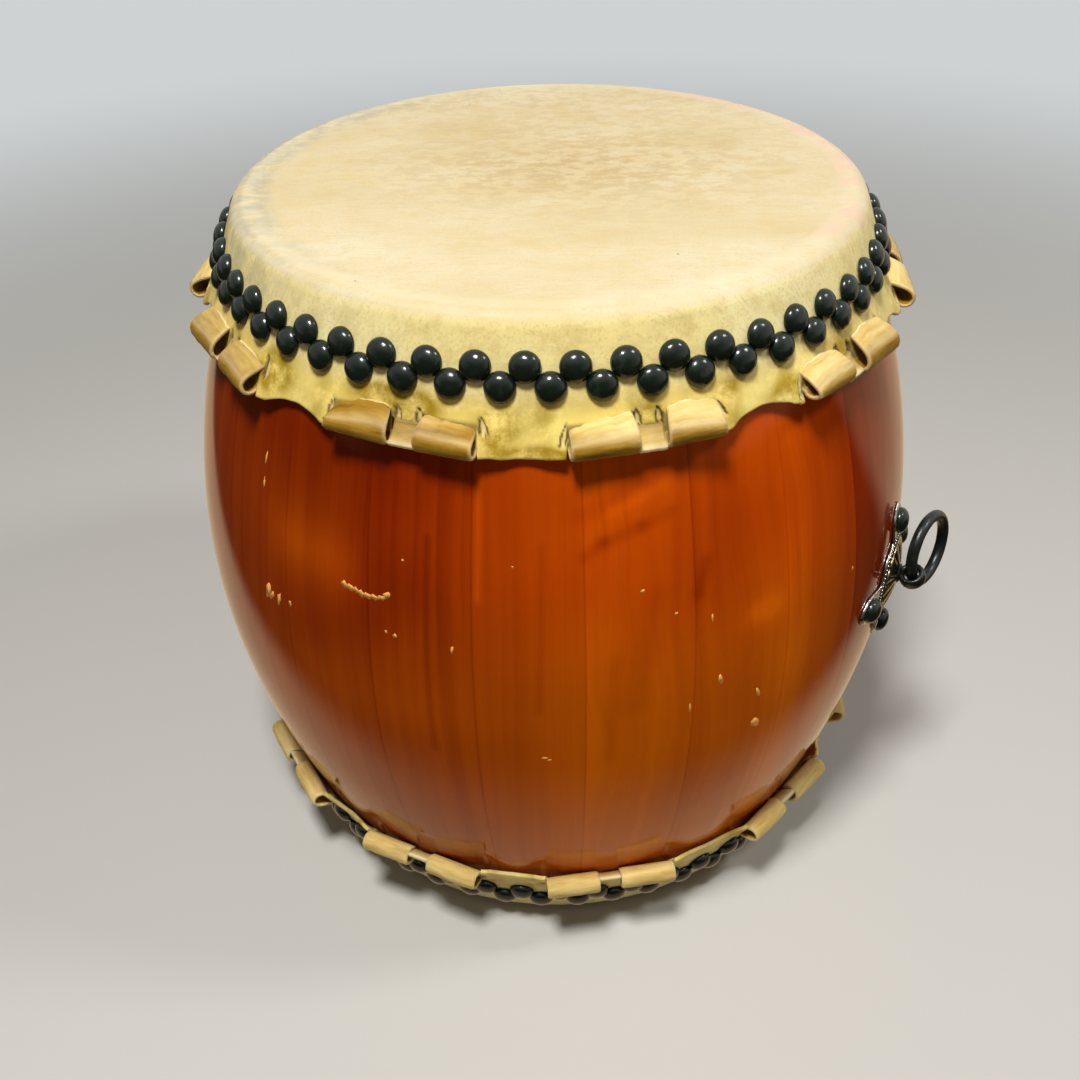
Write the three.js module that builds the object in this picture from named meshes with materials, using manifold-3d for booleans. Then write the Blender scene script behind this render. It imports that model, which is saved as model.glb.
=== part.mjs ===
// Nagado taiko: a stave-built barrel drum with two tacked rawhide heads and two ring handles.
// Millimetres, +Z along the drum's axis, origin at the centre of the face it stands on.
import * as THREE from 'three';
import { mergeVertices } from 'three/addons/utils/BufferGeometryUtils.js';
import Module from 'manifold-3d';

const wasm = await Module();
wasm.setup();

// Clearance between touching pieces, and the overrun of every cut
const GAP = 0.3;
const OVERRUN = 2;

// Shell: height over both heads, widest radius, radius at its mouths, wall at the middle of a stave
const DRUM_HEIGHT = 575;
const BELLY_RADIUS = 300;
const MOUTH_RADIUS = 233;
const STAVE_WALL = 27;
const MOUTH_EDGE_RADIUS = 9;
const STAVE_COUNT = 24;
const STAVE_JOINT_ANGLE = -86;
const BARREL_SHARE = 0.21;
const STAVE_LEVEL_SHARES = [0.13, 0.4, 0.69];

// Heads: skin thickness, rolled ears in pairs with a notch between the two of a pair
const SKIN = 3.5;
const EAR_PAIRS = 10;
const EAR_LENGTH = 45;
const EAR_NOTCH = 18;
const EAR_HEIGHT = 24.5;
const EAR_DEPTH = 18;
const EAR_DROP = 34.5;
const EAR_COLUMN_SHARE = 0.33;
const SKIRT_DROP_SHARE = 0.5;
const SKIRT_WALL_SHARE = 0.5;
const LIP_LIFT = 1.6;
const OUTER_ROLL_SIDES = 6;
const ROLL_BORE_SIDES = 5;
const UPPER_EAR_ANGLE = -4;
const LOWER_EAR_ANGLE = -6;
const UPPER_EAR_SHIFT_SHARES = [0, 0, 0, 0, 0, -0.03, -0.03, 0.02, -0.04, -0.015];
const LOWER_EAR_SHIFT_SHARES = [-0.08, 0.01, 0.08, 0.04, 0.03, 0, 0, 0, 0, 0];
const UPPER_EDGE_SHARES = [0.45, 0.6, 0.4, 0.75, 0.5, 0.65, 0.55, 0.05, 0.95, 0.4];
const LOWER_EDGE_SHARES = [0.5, 0.7, 0.45, 0.6, 0.5, 0.8, 0.55, 0.6, 0.5, 0.65];

// Head tacks: dome, middle of the two rows below the head, spacing and touching as shares of the dome
const TACK_DIAMETER = 21.2;
const TACK_DOME = 8;
const TACK_ROWS_DROP = 37.3;
const TACK_START_ANGLE = -86.4;
const TACK_ROW_RISE = 0.3;
const TACK_PITCH_SHARE = 1.48;
const TACK_TOUCH_SHARE = 0.905;
const DOME_WIDTH_SHARE = 0.74;
const DOME_RISE_SHARE = 0.6;

// Handles: place, ring, eye bolt, boss, seat plate, plate tacks and inside washer
const HANDLE_ANGLE = -24.1;
const HANDLE_DROP = 6;
const RING_RADIUS = 28.2;
const RING_WIRE = 9.4;
const RING_STEPS = 18;
const RING_SIDES = 6;
const RING_SWING = 78;
const EYE_TWIST = 25.5;
const EYE_LEAN = -12;
const EYE_CLEARANCE = 1;
const EYE_BAND = 4.8;
const EYE_WIDTH = 11;
const EYE_SIDES = 10;
const EYE_LIP_SIDES = 6;
const NECK_LENGTH = 0.2;
const SHANK_DIAMETER = 9;
const BOSS_RADIUS = 30;
const BOSS_HEIGHT = 5.4;
const BOSS_RIM = 1.2;
const BOSS_PETALS = 14;
const PETAL_WIDTH_SHARE = 0.93;
const PLATE = 1.6;
const PLATE_RING_SHARE = 0.52;
const PLATE_WAIST = 37;
const PLATE_REACH_SIDE = 56;
const PLATE_REACH_UP = 51;
const PLATE_LOBE = 13.5;
const PLATE_TIP = 4;
const PLATE_TACK_DIAMETER = 21;
const PLATE_TACK_DOME = 7.8;
const PLATE_TACK_SHANK = 4;
const PLATE_TACK_LENGTH = 16;
const PLATE_TACK_SIDES = 8;
const SHANK_SIDES = 4;
const WASHER_RADIUS = 12;
const WASHER = 1.6;
const LEG_DIAMETER = 4.2;
const LEG_LENGTH = 15;
const LEG_SIDES = 6;
const BOLT_SIDES = 8;

const DEGREE = Math.PI / 180;
const MID_HEIGHT = DRUM_HEIGHT / 2;
const AXIS_X = new THREE.Vector3(1, 0, 0);
const AXIS_Y = new THREE.Vector3(0, 1, 0);
const AXIS_Z = new THREE.Vector3(0, 0, 1);

// Finishes
const FINISHES = {
  lacquered_wood: { color: 0x8a3a0c, roughness: 0.25, metalness: 0 },
  rawhide: { color: 0xe0cfa0, roughness: 0.6, metalness: 0 },
  black_iron: { color: 0x1a1e1c, roughness: 0.35, metalness: 0.6 },
  plated_steel: { color: 0xb9b6ac, roughness: 0.25, metalness: 1 },
};

// Turns a closed geometry into a boolean solid, placed by a matrix
function toSolid(geometry, matrix = new THREE.Matrix4()) {
  const bare = geometry.clone().applyMatrix4(matrix);
  bare.deleteAttribute('normal');
  bare.deleteAttribute('uv');
  const merged = mergeVertices(bare);
  const vertProperties = new Float32Array(merged.attributes.position.array);
  const triVerts = new Uint32Array(merged.index.array);
  return new wasm.Manifold(new wasm.Mesh({ numProp: 3, vertProperties, triVerts }));
}

// Turns a boolean solid back into a geometry
function toGeometry(solid) {
  const mesh = solid.getMesh();
  const geometry = new THREE.BufferGeometry();
  geometry.setAttribute('position', new THREE.BufferAttribute(mesh.vertProperties, 3));
  geometry.setIndex(new THREE.BufferAttribute(mesh.triVerts, 1));
  return geometry;
}

// Six times the signed volume under an indexed surface
function signedVolume(points, faces) {
  return faces.reduce((sum, [a, b, c]) => {
    const normal = points[b].clone().cross(points[c]);
    return sum + points[a].dot(normal);
  }, 0);
}

// Joins equal loops of points, one after the other, into a closed body
// ends is ring where the last loop meets the first, else a fan from each end loop's middle or corner
function loopGeometry(loops, ends) {
  const isRing = ends === 'ring';
  const count = loops[0].length;
  const points = loops.flat();
  const faces = [];
  const pairs = isRing ? loops.length : loops.length - 1;
  for (let i = 0; i < pairs; i += 1) {
    const low = i * count;
    const high = ((i + 1) % loops.length) * count;
    for (let j = 0; j < count; j += 1) {
      const next = (j + 1) % count;
      faces.push([low + j, low + next, high + next]);
      faces.push([low + j, high + next, high + j]);
    }
  }
  const last = (loops.length - 1) * count;
  if (ends === 'corner') {
    for (let j = 1; j < count - 1; j += 1) {
      faces.push([0, j + 1, j]);
      faces.push([last, last + j, last + j + 1]);
    }
  }
  if (ends === 'middle') {
    const firstMiddle = points.length;
    points.push(middleOf(loops[0]));
    points.push(middleOf(loops[loops.length - 1]));
    for (let j = 0; j < count; j += 1) {
      const next = (j + 1) % count;
      faces.push([firstMiddle, next, j]);
      faces.push([firstMiddle + 1, last + j, last + next]);
    }
  }
  const isOutward = signedVolume(points, faces) > 0;
  const geometry = new THREE.BufferGeometry();
  const numbers = points.flatMap((point) => point.toArray());
  geometry.setAttribute('position', new THREE.Float32BufferAttribute(numbers, 3));
  geometry.setIndex(faces.flatMap(([a, b, c]) => (isOutward ? [a, b, c] : [a, c, b])));
  return geometry;
}

function middleOf(loop) {
  const sum = loop.reduce((total, point) => total.add(point), new THREE.Vector3());
  return sum.divideScalar(loop.length);
}

function makeMesh(name, geometry, finish) {
  const mesh = new THREE.Mesh(geometry, new THREE.MeshStandardMaterial(FINISHES[finish]));
  mesh.name = name;
  return mesh;
}

// A point at a radius, an angle in degrees and a height
function polar(radius, angle, height) {
  return new THREE.Vector3(
    radius * Math.cos(angle * DEGREE),
    radius * Math.sin(angle * DEGREE),
    height,
  );
}

// Outside of the shell: a quartic curve, from the belly to the mouths
function shellRadius(height) {
  const s = (height - MID_HEIGHT) / MID_HEIGHT;
  const share = (1 + BARREL_SHARE) * s ** 2 - BARREL_SHARE * s ** 4;
  return BELLY_RADIUS - (BELLY_RADIUS - MOUTH_RADIUS) * share;
}

// Angle by which the shell's surface faces up, in radians
function shellTilt(height) {
  const s = (height - MID_HEIGHT) / MID_HEIGHT;
  const change = 2 * (1 + BARREL_SHARE) * s - 4 * BARREL_SHARE * s ** 3;
  return Math.atan((BELLY_RADIUS - MOUTH_RADIUS) * change / MID_HEIGHT);
}

// Rounded mouth edge: wood, and both faces of the skin over it, turn about one centre
const mouthPlane = DRUM_HEIGHT - SKIN - GAP;
const edgeHeight = mouthPlane - MOUTH_EDGE_RADIUS;
const edgeTilt = shellTilt(edgeHeight);
const edgeTouch = edgeHeight + MOUTH_EDGE_RADIUS * Math.sin(edgeTilt);
const edgeRadius = shellRadius(edgeTouch) - MOUTH_EDGE_RADIUS * Math.cos(edgeTilt);

function edgePoint(offset, turn) {
  const reach = MOUTH_EDGE_RADIUS + offset;
  return { radius: edgeRadius + reach * Math.cos(turn), height: edgeHeight + reach * Math.sin(turn) };
}

// Heights and radii of the rings of a stave, from the lower mouth to the upper
function staveLevels() {
  const upper = STAVE_LEVEL_SHARES.map((share) => MID_HEIGHT + share * (edgeTouch - MID_HEIGHT));
  const levels = upper.map((height) => ({ height, radius: shellRadius(height) }));
  levels.push({ height: edgeTouch, radius: shellRadius(edgeTouch) });
  levels.push({ height: mouthPlane, radius: edgeRadius });
  const lower = levels.map(({ height, radius }) => ({ height: DRUM_HEIGHT - height, radius }));
  return [...lower.reverse(), ...levels];
}

// Radius of the staves' facets, which are straight between two rings
function facetRadius(height) {
  const levels = staveLevels();
  const i = Math.max(levels.findIndex((level) => level.height > height), 1);
  const [low, high] = [levels[i - 1], levels[i]];
  const share = (height - low.height) / (high.height - low.height);
  return low.radius + (high.radius - low.radius) * share;
}

// A point beside a glued joint, half the clearance away from the joint's plane
function besideJoint(radius, angle, side, height) {
  const away = side * GAP / 2;
  const along = Math.sqrt(radius ** 2 - away ** 2);
  const point = new THREE.Vector3(along, away, height);
  return point.applyAxisAngle(AXIS_Z, angle * DEGREE);
}

const stavePitch = 360 / STAVE_COUNT;
const staveFlat = Math.cos(stavePitch * DEGREE / 2);

// Inside corner radius of the shell, where the flat inner faces of two staves meet
function boreCorner(height) {
  return (shellRadius(height) - STAVE_WALL) / staveFlat;
}

function staveGeometry(start) {
  const end = start + stavePitch;
  const loops = staveLevels().map(({ height, radius }) => [
    besideJoint(radius, start, 1, height),
    polar(radius, (start + end) / 2, height),
    besideJoint(radius, end, -1, height),
    besideJoint(boreCorner(height), end, -1, height),
    besideJoint(boreCorner(height), start, 1, height),
  ]);
  return loopGeometry(loops, 'corner');
}

// Smallest angle between two directions, in degrees
function angleBetween(a, b) {
  const turn = Math.abs(a - b) % 360;
  return Math.min(turn, 360 - turn);
}

function addStaves(group, cutters) {
  for (let i = 0; i < STAVE_COUNT; i += 1) {
    const start = STAVE_JOINT_ANGLE + i * stavePitch;
    const middle = start + stavePitch / 2;
    let geometry = staveGeometry(start);
    const near = cutters.filter(({ angle }) => angleBetween(angle, middle) < stavePitch / 2);
    if (near.length > 0) {
      const cut = near.reduce((solid, { tool }) => solid.subtract(tool), toSolid(geometry));
      geometry = toGeometry(cut);
    }
    group.add(makeMesh(`stave_${String(i + 1).padStart(2, '0')}`, geometry, 'lacquered_wood'));
  }
}

// Skins are drawn head up, with the head's plane at zero height
// A roll is an ellipse across, with these half sizes
const rollOut = EAR_DEPTH / 2;
const rollUp = EAR_HEIGHT / 2;
const headEdge = edgePoint(GAP + SKIN, edgeTilt);
const earMiddle = TACK_ROWS_DROP + EAR_DROP;
const collarEnd = earMiddle - rollUp - GAP;
const collarTilt = shellTilt(DRUM_HEIGHT - earMiddle);
const skinRun = SKIN / Math.cos(collarTilt);
const gapRun = GAP / Math.cos(collarTilt);
const earSpan = EAR_NOTCH / 2 + EAR_LENGTH;
const skirtEnd = earMiddle + rollUp * SKIRT_DROP_SHARE;
const skirtRadius = shellRadius(DRUM_HEIGHT - skirtEnd) + gapRun;

// How far the middle of a roll lies out, so that it just clears the wood
const rollSupport = Math.hypot(rollOut * Math.cos(collarTilt), rollUp * Math.sin(collarTilt));
const rollMiddle = shellRadius(DRUM_HEIGHT - earMiddle) + (GAP + rollSupport) / Math.cos(collarTilt);

function earAngles(first, shiftShares) {
  const pitch = 360 / EAR_PAIRS;
  return shiftShares.map((share, i) => first + (i + share) * pitch);
}

// Directions in which the skin is drawn: over each pair of ears and over the scallop after it
// flare is the way out along the straight line between the ends of a pair, drop the free edge
function skinColumns(angles, edgeShares) {
  const columns = [];
  const endTurn = Math.atan(earSpan / skirtRadius) / DEGREE;
  const freeDrop = earMiddle + rollUp;
  angles.forEach((angle, i) => {
    const next = angles[(i + 1) % angles.length] + (i + 1 < angles.length ? 0 : 360);
    const after = (next - angle) / 2;
    [-1, -EAR_COLUMN_SHARE, EAR_COLUMN_SHARE, 1].forEach((share) => {
      const turn = share * endTurn;
      const flare = skirtRadius / Math.cos(turn * DEGREE) - skirtRadius;
      columns.push({ angle: angle + turn, flare, drop: skirtEnd, wallShare: SKIRT_WALL_SHARE });
    });
    const scallopDrop = freeDrop - edgeShares[i] * (freeDrop - collarEnd) / 2;
    columns.push({ angle: angle + after, flare: LIP_LIFT, drop: scallopDrop, wallShare: 1 });
  });
  return columns;
}

// Widest step between columns decides how far the collar's corners stand out to clear the wood
function cornerFactor(columns) {
  const steps = columns.map(({ angle }, i) => angleBetween(angle, columns[(i + 1) % columns.length].angle));
  return 1 / Math.cos(Math.max(...steps) * DEGREE / 2);
}

function ringOf(columns, pointAt) {
  return columns.map((column) => {
    const { radius, height } = pointAt(column);
    return polar(radius, column.angle, height);
  });
}

// The drape of the skin: flat head, rounded edge, collar and skirt, outside then inside
function drapeGeometry(columns) {
  const factor = cornerFactor(columns);
  const collarRadius = shellRadius(DRUM_HEIGHT - collarEnd) + gapRun;
  const edgeRing = (offset, turn) => ringOf(columns, () => {
    const { radius, height } = edgePoint(offset, turn);
    return { radius: radius * factor, height: height - DRUM_HEIGHT };
  });
  const collarRing = (wall) => ringOf(columns, () => ({
    radius: collarRadius * factor + wall,
    height: -collarEnd,
  }));
  const skirtRing = (wall) => ringOf(columns, ({ flare, drop, wallShare }) => ({
    radius: shellRadius(DRUM_HEIGHT - drop) + gapRun + flare + wall * wallShare,
    height: -drop,
  }));
  const topTurn = Math.PI / 2;
  return loopGeometry([
    edgeRing(GAP + SKIN, topTurn),
    edgeRing(GAP + SKIN, (topTurn + edgeTilt) / 2),
    edgeRing(GAP + SKIN, edgeTilt),
    collarRing(skinRun),
    skirtRing(skinRun),
    skirtRing(0),
    collarRing(0),
    edgeRing(GAP, edgeTilt),
    edgeRing(GAP, topTurn),
  ], 'middle');
}

// An ellipse of points across the roll, at a distance along it
function rollLoop(out, up, sides, along) {
  return Array.from({ length: sides }, (_, i) => {
    const turn = (i + 0.5) * 2 * Math.PI / sides;
    return new THREE.Vector3(rollMiddle + out * Math.cos(turn), along, -earMiddle + up * Math.sin(turn));
  });
}

// One rolled ear: a straight tube with an open bore
function rollSolid(start, end) {
  const body = [start, end].map((along) => rollLoop(rollOut, rollUp, OUTER_ROLL_SIDES, along));
  const bore = [start - OVERRUN, end + OVERRUN].map(
    (along) => rollLoop(rollOut - SKIN, rollUp - SKIN, ROLL_BORE_SIDES, along),
  );
  return toSolid(loopGeometry(body, 'corner')).subtract(toSolid(loopGeometry(bore, 'corner')));
}

function skinGeometry(angles, edgeShares) {
  const drape = toSolid(drapeGeometry(skinColumns(angles, edgeShares)));
  const roll = rollSolid(EAR_NOTCH / 2, earSpan);
  const mirrored = rollSolid(-earSpan, -EAR_NOTCH / 2);
  const rolls = angles.flatMap((angle) => [roll.rotate([0, 0, angle]), mirrored.rotate([0, 0, angle])]);
  return toGeometry(wasm.Manifold.union([drape, ...rolls]));
}

// Collar line between the rounded edge and the skirt, on which the tacks sit
function collarLine(columns) {
  const factor = cornerFactor(columns);
  const high = new THREE.Vector2(headEdge.radius * factor, headEdge.height - DRUM_HEIGHT);
  const lowRadius = (shellRadius(DRUM_HEIGHT - collarEnd) + gapRun) * factor + skinRun;
  const low = new THREE.Vector2(lowRadius, -collarEnd);
  return { high, low, down: low.clone().sub(high).normalize() };
}

// A tack's dome round its own axis, with corners at the given turns
function domeGeometry(diameter, dome, turns) {
  const loopAt = (radius, height) => turns.map(
    (turn) => new THREE.Vector3(radius * Math.cos(turn), radius * Math.sin(turn), height),
  );
  const radius = diameter / 2;
  const shoulder = loopAt(radius * DOME_WIDTH_SHARE, dome * DOME_RISE_SHARE);
  return loopGeometry([loopAt(radius, 0), shoulder, loopAt(0, dome)], 'corner');
}

// Corner turns of a tack, where toward is the turn from its downhill or uphill side to a neighbour
// The tacks near the head point a corner at each neighbour, and the others face them with a flat
function cornerTurns(isNearHead, toward) {
  const rest = Math.PI - 1.5 * toward;
  const turns = isNearHead
    ? [0, toward, (toward + Math.PI) / 2, Math.PI]
    : [toward / 2, 1.5 * toward, Math.PI - rest / 3];
  const mirrored = turns.filter((turn) => turn > 0 && turn < Math.PI).map((turn) => -turn);
  const facing = isNearHead ? -Math.PI / 2 : Math.PI / 2;
  return [...turns, ...mirrored.reverse()].map((turn) => facing + turn);
}

// Two staggered rows of tacks round a head, whose domes touch and so form one chain
function tackChainGeometry(columns) {
  const { high, down } = collarLine(columns);
  const middleRun = (TACK_ROWS_DROP + high.y) / -down.y;
  const middle = high.clone().addScaledVector(down, middleRun);
  const count = Math.round(2 * Math.PI * middle.x / (TACK_PITCH_SHARE * TACK_DIAMETER));
  const halfTurn = Math.PI / count;
  const chord = 2 * middle.x * Math.sin(halfTurn / 2);
  const rowGap = Math.sqrt((TACK_TOUCH_SHARE * TACK_DIAMETER) ** 2 - chord ** 2);
  const toward = Math.atan2(chord, rowGap);
  const normal = new THREE.Vector3(-down.y, 0, down.x);
  const slope = new THREE.Vector3(-down.x, 0, -down.y);
  const domes = [];
  [true, false].forEach((isNearHead) => {
    const dome = toSolid(domeGeometry(TACK_DIAMETER, TACK_DOME, cornerTurns(isNearHead, toward)));
    const seat = new THREE.Vector3(middle.x, 0, middle.y)
      .addScaledVector(slope, (isNearHead ? 1 : -1) * rowGap / 2)
      .addScaledVector(normal, GAP + (isNearHead ? TACK_ROW_RISE : 0));
    for (let i = 0; i < count; i += 1) {
      const turn = TACK_START_ANGLE * DEGREE + (2 * i + (isNearHead ? 0 : 1)) * halfTurn;
      const matrix = new THREE.Matrix4().makeRotationZ(turn)
        .multiply(new THREE.Matrix4().makeTranslation(seat))
        .multiply(new THREE.Matrix4().makeBasis(AXIS_Y, slope, normal));
      domes.push(dome.transform(matrix.toArray()));
    }
  });
  return toGeometry(wasm.Manifold.union(domes));
}

// Handles are drawn in a frame with X out from the drum's axis, and Z up from the handle's height
const handleHeight = MID_HEIGHT - HANDLE_DROP;
const handleRadius = shellRadius(handleHeight);
const lobeReach = Math.max(PLATE_REACH_SIDE, PLATE_REACH_UP) + PLATE_LOBE + PLATE_TIP;
const plateSpan = lobeReach * PLATE_RING_SHARE;
const plateLift = GAP + plateSpan ** 2 / (8 * handleRadius);
const plateTop = plateLift + PLATE;
const bossTop = plateTop + GAP + BOSS_HEIGHT;
const eyeHole = RING_WIRE / 2 + EYE_CLEARANCE;
const eyeOuter = eyeHole + EYE_BAND;
const hingeOut = bossTop + NECK_LENGTH + eyeOuter;
const shankHole = SHANK_DIAMETER / 2 + GAP;

// A place on the shell beside the handle's middle, with its outward normal
function shellPlace(side, up, offset) {
  const turn = side / handleRadius;
  const height = handleHeight + up;
  const tilt = shellTilt(height);
  const radius = shellRadius(height) + offset * Math.cos(tilt);
  const point = new THREE.Vector3(radius * Math.cos(turn), radius * Math.sin(turn), up + offset * Math.sin(tilt));
  const normal = new THREE.Vector3(Math.cos(tilt) * Math.cos(turn), Math.cos(tilt) * Math.sin(turn), Math.sin(tilt));
  return { point, normal };
}

// A loop on the shell's surface, from an outline in polar form
function shellLoop(outline, offset) {
  return outline.map(({ reach, turn }) => {
    const side = reach * Math.cos(turn);
    const up = reach * Math.sin(turn);
    return shellPlace(side, up, offset).point;
  });
}

// Lobed outline of the seat plate: a round waist, and a pointed lobe round each tack
function plateOutline() {
  const outline = [];
  [0, 1, 2, 3].forEach((quarter) => {
    const axis = quarter * Math.PI / 2;
    const reach = quarter % 2 === 0 ? PLATE_REACH_SIDE : PLATE_REACH_UP;
    const widest = Math.asin(PLATE_LOBE / reach);
    [-1, -0.5].forEach((share) => outline.push(lobePoint(axis, reach, share * widest)));
    outline.push({ reach: reach + PLATE_LOBE + PLATE_TIP, turn: axis });
    [0.5, 1].forEach((share) => outline.push(lobePoint(axis, reach, share * widest)));
    outline.push({ reach: PLATE_WAIST, turn: axis + Math.PI / 4 });
  });
  return outline;
}

function lobePoint(axis, reach, turn) {
  const across = reach * Math.sin(turn);
  const rest = Math.sqrt(Math.max(PLATE_LOBE ** 2 - across ** 2, 0));
  return { reach: reach * Math.cos(turn) + rest, turn: axis + turn };
}

function withReach(outline, reachAt) {
  return outline.map(({ reach, turn }) => ({ reach: reachAt(reach), turn }));
}

// Places of the four tacks of a plate
const plateTackPlaces = [
  { name: 'right', side: PLATE_REACH_SIDE, up: 0 },
  { name: 'top', side: 0, up: PLATE_REACH_UP },
  { name: 'left', side: -PLATE_REACH_SIDE, up: 0 },
  { name: 'bottom', side: 0, up: -PLATE_REACH_UP },
];

// Matrix with Z along the shell's normal at a place, at an offset from the wood
function placeMatrix(side, up, offset) {
  const { point, normal } = shellPlace(side, up, offset);
  const across = AXIS_Z.clone().cross(normal).normalize();
  const rise = normal.clone().cross(across);
  return new THREE.Matrix4().makeBasis(across, rise, normal).setPosition(point);
}

// A straight pin along Z, from a depth below zero to a height above it
function pinGeometry(radius, depth, height, sides) {
  const geometry = new THREE.CylinderGeometry(radius, radius, depth + height, sides);
  geometry.rotateX(Math.PI / 2);
  return geometry.translate(0, 0, (height - depth) / 2);
}

// Space for the shank of a plate tack, through the plate and into the wood
function tackHoleSolid({ side, up }) {
  const radius = PLATE_TACK_SHANK / 2 + GAP;
  const depth = PLATE_TACK_LENGTH + GAP;
  const pin = pinGeometry(radius, depth, OVERRUN, SHANK_SIDES);
  return toSolid(pin, placeMatrix(side, up, plateTop));
}

function plateGeometry() {
  const outline = plateOutline();
  const hole = withReach(outline, () => shankHole);
  const middle = withReach(outline, (reach) => reach * PLATE_RING_SHARE);
  const rings = [hole, middle, outline];
  const low = rings.map((ring) => shellLoop(ring, plateLift));
  const high = rings.map((ring) => shellLoop(ring, plateTop));
  const sheet = toSolid(loopGeometry([...low, ...high.reverse()], 'ring'));
  return toGeometry(plateTackPlaces.reduce((solid, place) => solid.subtract(tackHoleSolid(place)), sheet));
}

// Fluted boss: petals rise from its rim to the neck of the eye bolt
function bossGeometry() {
  const columns = 2 * BOSS_PETALS;
  const ring = (reach, valleyShare) => Array.from({ length: columns }, (_, i) => ({
    reach: reach * (i % 2 === 0 ? 1 : valleyShare),
    turn: i * 2 * Math.PI / columns,
  }));
  const seat = plateTop + GAP;
  return loopGeometry([
    shellLoop(ring(shankHole, 1), seat),
    shellLoop(ring(BOSS_RADIUS, PETAL_WIDTH_SHARE), seat),
    shellLoop(ring(BOSS_RADIUS, PETAL_WIDTH_SHARE), seat + BOSS_RIM),
    shellLoop(ring(shankHole, 1), seat + BOSS_HEIGHT),
  ], 'ring');
}

// Domed tack of the seat plate, with its square shank
function plateTackGeometry() {
  const turns = Array.from({ length: PLATE_TACK_SIDES }, (_, i) => i * 2 * Math.PI / PLATE_TACK_SIDES);
  const dome = toSolid(domeGeometry(PLATE_TACK_DIAMETER, PLATE_TACK_DOME, turns));
  const shank = toSolid(pinGeometry(PLATE_TACK_SHANK / 2, PLATE_TACK_LENGTH, PLATE_TACK_DOME / 2, SHANK_SIDES));
  return toGeometry(dome.add(shank));
}

// Hinge frame of the ring: X out, Z along the eye's hole, which the twist and lean turn from upright
function hingeMatrix() {
  const twist = EYE_TWIST * DEGREE;
  const lean = EYE_LEAN * DEGREE;
  const hole = new THREE.Vector3(0, -Math.sin(twist), Math.cos(twist)).multiplyScalar(Math.cos(lean));
  hole.addScaledVector(AXIS_X, Math.sin(lean));
  const out = AXIS_X.clone().addScaledVector(hole, -hole.x).normalize();
  const across = hole.clone().cross(out);
  return new THREE.Matrix4().makeBasis(out, across, hole).setPosition(handleRadius + hingeOut, 0, 0);
}

function ringGeometry() {
  const torus = new THREE.TorusGeometry(RING_RADIUS, RING_WIRE / 2, RING_SIDES, RING_STEPS);
  return torus.rotateX(Math.PI / 2).translate(RING_RADIUS, 0, 0);
}

// Eye of the bolt: a wide band with rounded lips round the hinge's axis
function eyeSolid() {
  const halfBand = EYE_BAND / 2;
  const corner = halfBand / Math.cos(Math.PI / EYE_LIP_SIDES);
  const profile = Array.from({ length: EYE_LIP_SIDES + 1 }, (_, i) => {
    const turn = (i + 0.5) * 2 * Math.PI / EYE_LIP_SIDES;
    const radius = eyeHole + halfBand + corner * Math.cos(turn);
    return new THREE.Vector2(radius, EYE_WIDTH / 2 * Math.sin(turn));
  });
  const band = new THREE.LatheGeometry(profile, EYE_SIDES).rotateX(Math.PI / 2);
  return toSolid(band, hingeMatrix());
}

// Distance from the drum's axis at which a disc inside the shell just clears the staves
function insideSeat(radius, angle) {
  const facing = STAVE_JOINT_ANGLE + stavePitch / 2;
  const samples = Array.from({ length: 2 * BOLT_SIDES }, (_, i) => i * Math.PI / BOLT_SIDES);
  const clear = samples.map((turn) => {
    const side = radius * Math.cos(turn);
    const height = handleHeight + radius * Math.sin(turn);
    const flat = facetRadius(height) - STAVE_WALL;
    const limits = Array.from({ length: STAVE_COUNT }, (_, i) => {
      const away = (facing + i * stavePitch - angle) * DEGREE;
      return Math.cos(away) > 0.5 ? (flat - side * Math.sin(away)) / Math.cos(away) : Infinity;
    });
    return Math.min(...limits);
  });
  return Math.min(...clear) - GAP;
}

const washerSeat = insideSeat(WASHER_RADIUS, HANDLE_ANGLE);
const washerFace = washerSeat - WASHER;

// One of the two legs of the bolt, bent over the washer
function legSolid(side) {
  const radius = LEG_DIAMETER / 2;
  const apart = side * (SHANK_DIAMETER / 2 - radius - GAP);
  const bend = radius + GAP;
  const lie = washerFace - 2 * GAP - radius;
  const turns = [0, Math.PI / 2];
  const path = [new THREE.Vector3(washerSeat + SHANK_DIAMETER, 0, apart)];
  turns.forEach((turn) => path.push(new THREE.Vector3(
    lie + bend * (1 - Math.sin(turn)),
    0,
    apart + side * bend * (1 - Math.cos(turn)),
  )));
  path.push(new THREE.Vector3(lie, 0, apart + side * LEG_LENGTH));
  const loops = path.map((point, i) => {
    const before = path[Math.max(i - 1, 0)];
    const after = path[Math.min(i + 1, path.length - 1)];
    const along = after.clone().sub(before).normalize();
    const rise = AXIS_Y.clone().cross(along);
    return Array.from({ length: LEG_SIDES }, (_, k) => {
      const turn = (k + 0.5) * 2 * Math.PI / LEG_SIDES;
      return point.clone()
        .addScaledVector(AXIS_Y, radius * Math.cos(turn))
        .addScaledVector(rise, radius * Math.sin(turn));
    });
  });
  return toSolid(loopGeometry(loops, 'corner'));
}

// Eye bolt: eye, shank through the wall, and two legs clinched inside
function eyeBoltGeometry() {
  const start = handleRadius + hingeOut - eyeHole - EYE_BAND / 2;
  const end = washerFace + GAP;
  const shank = pinGeometry(SHANK_DIAMETER / 2, 0, start - end, BOLT_SIDES);
  const matrix = new THREE.Matrix4().makeRotationY(Math.PI / 2).setPosition(end, 0, 0);
  return toGeometry(wasm.Manifold.union([eyeSolid(), toSolid(shank, matrix), legSolid(1), legSolid(-1)]));
}

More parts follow.
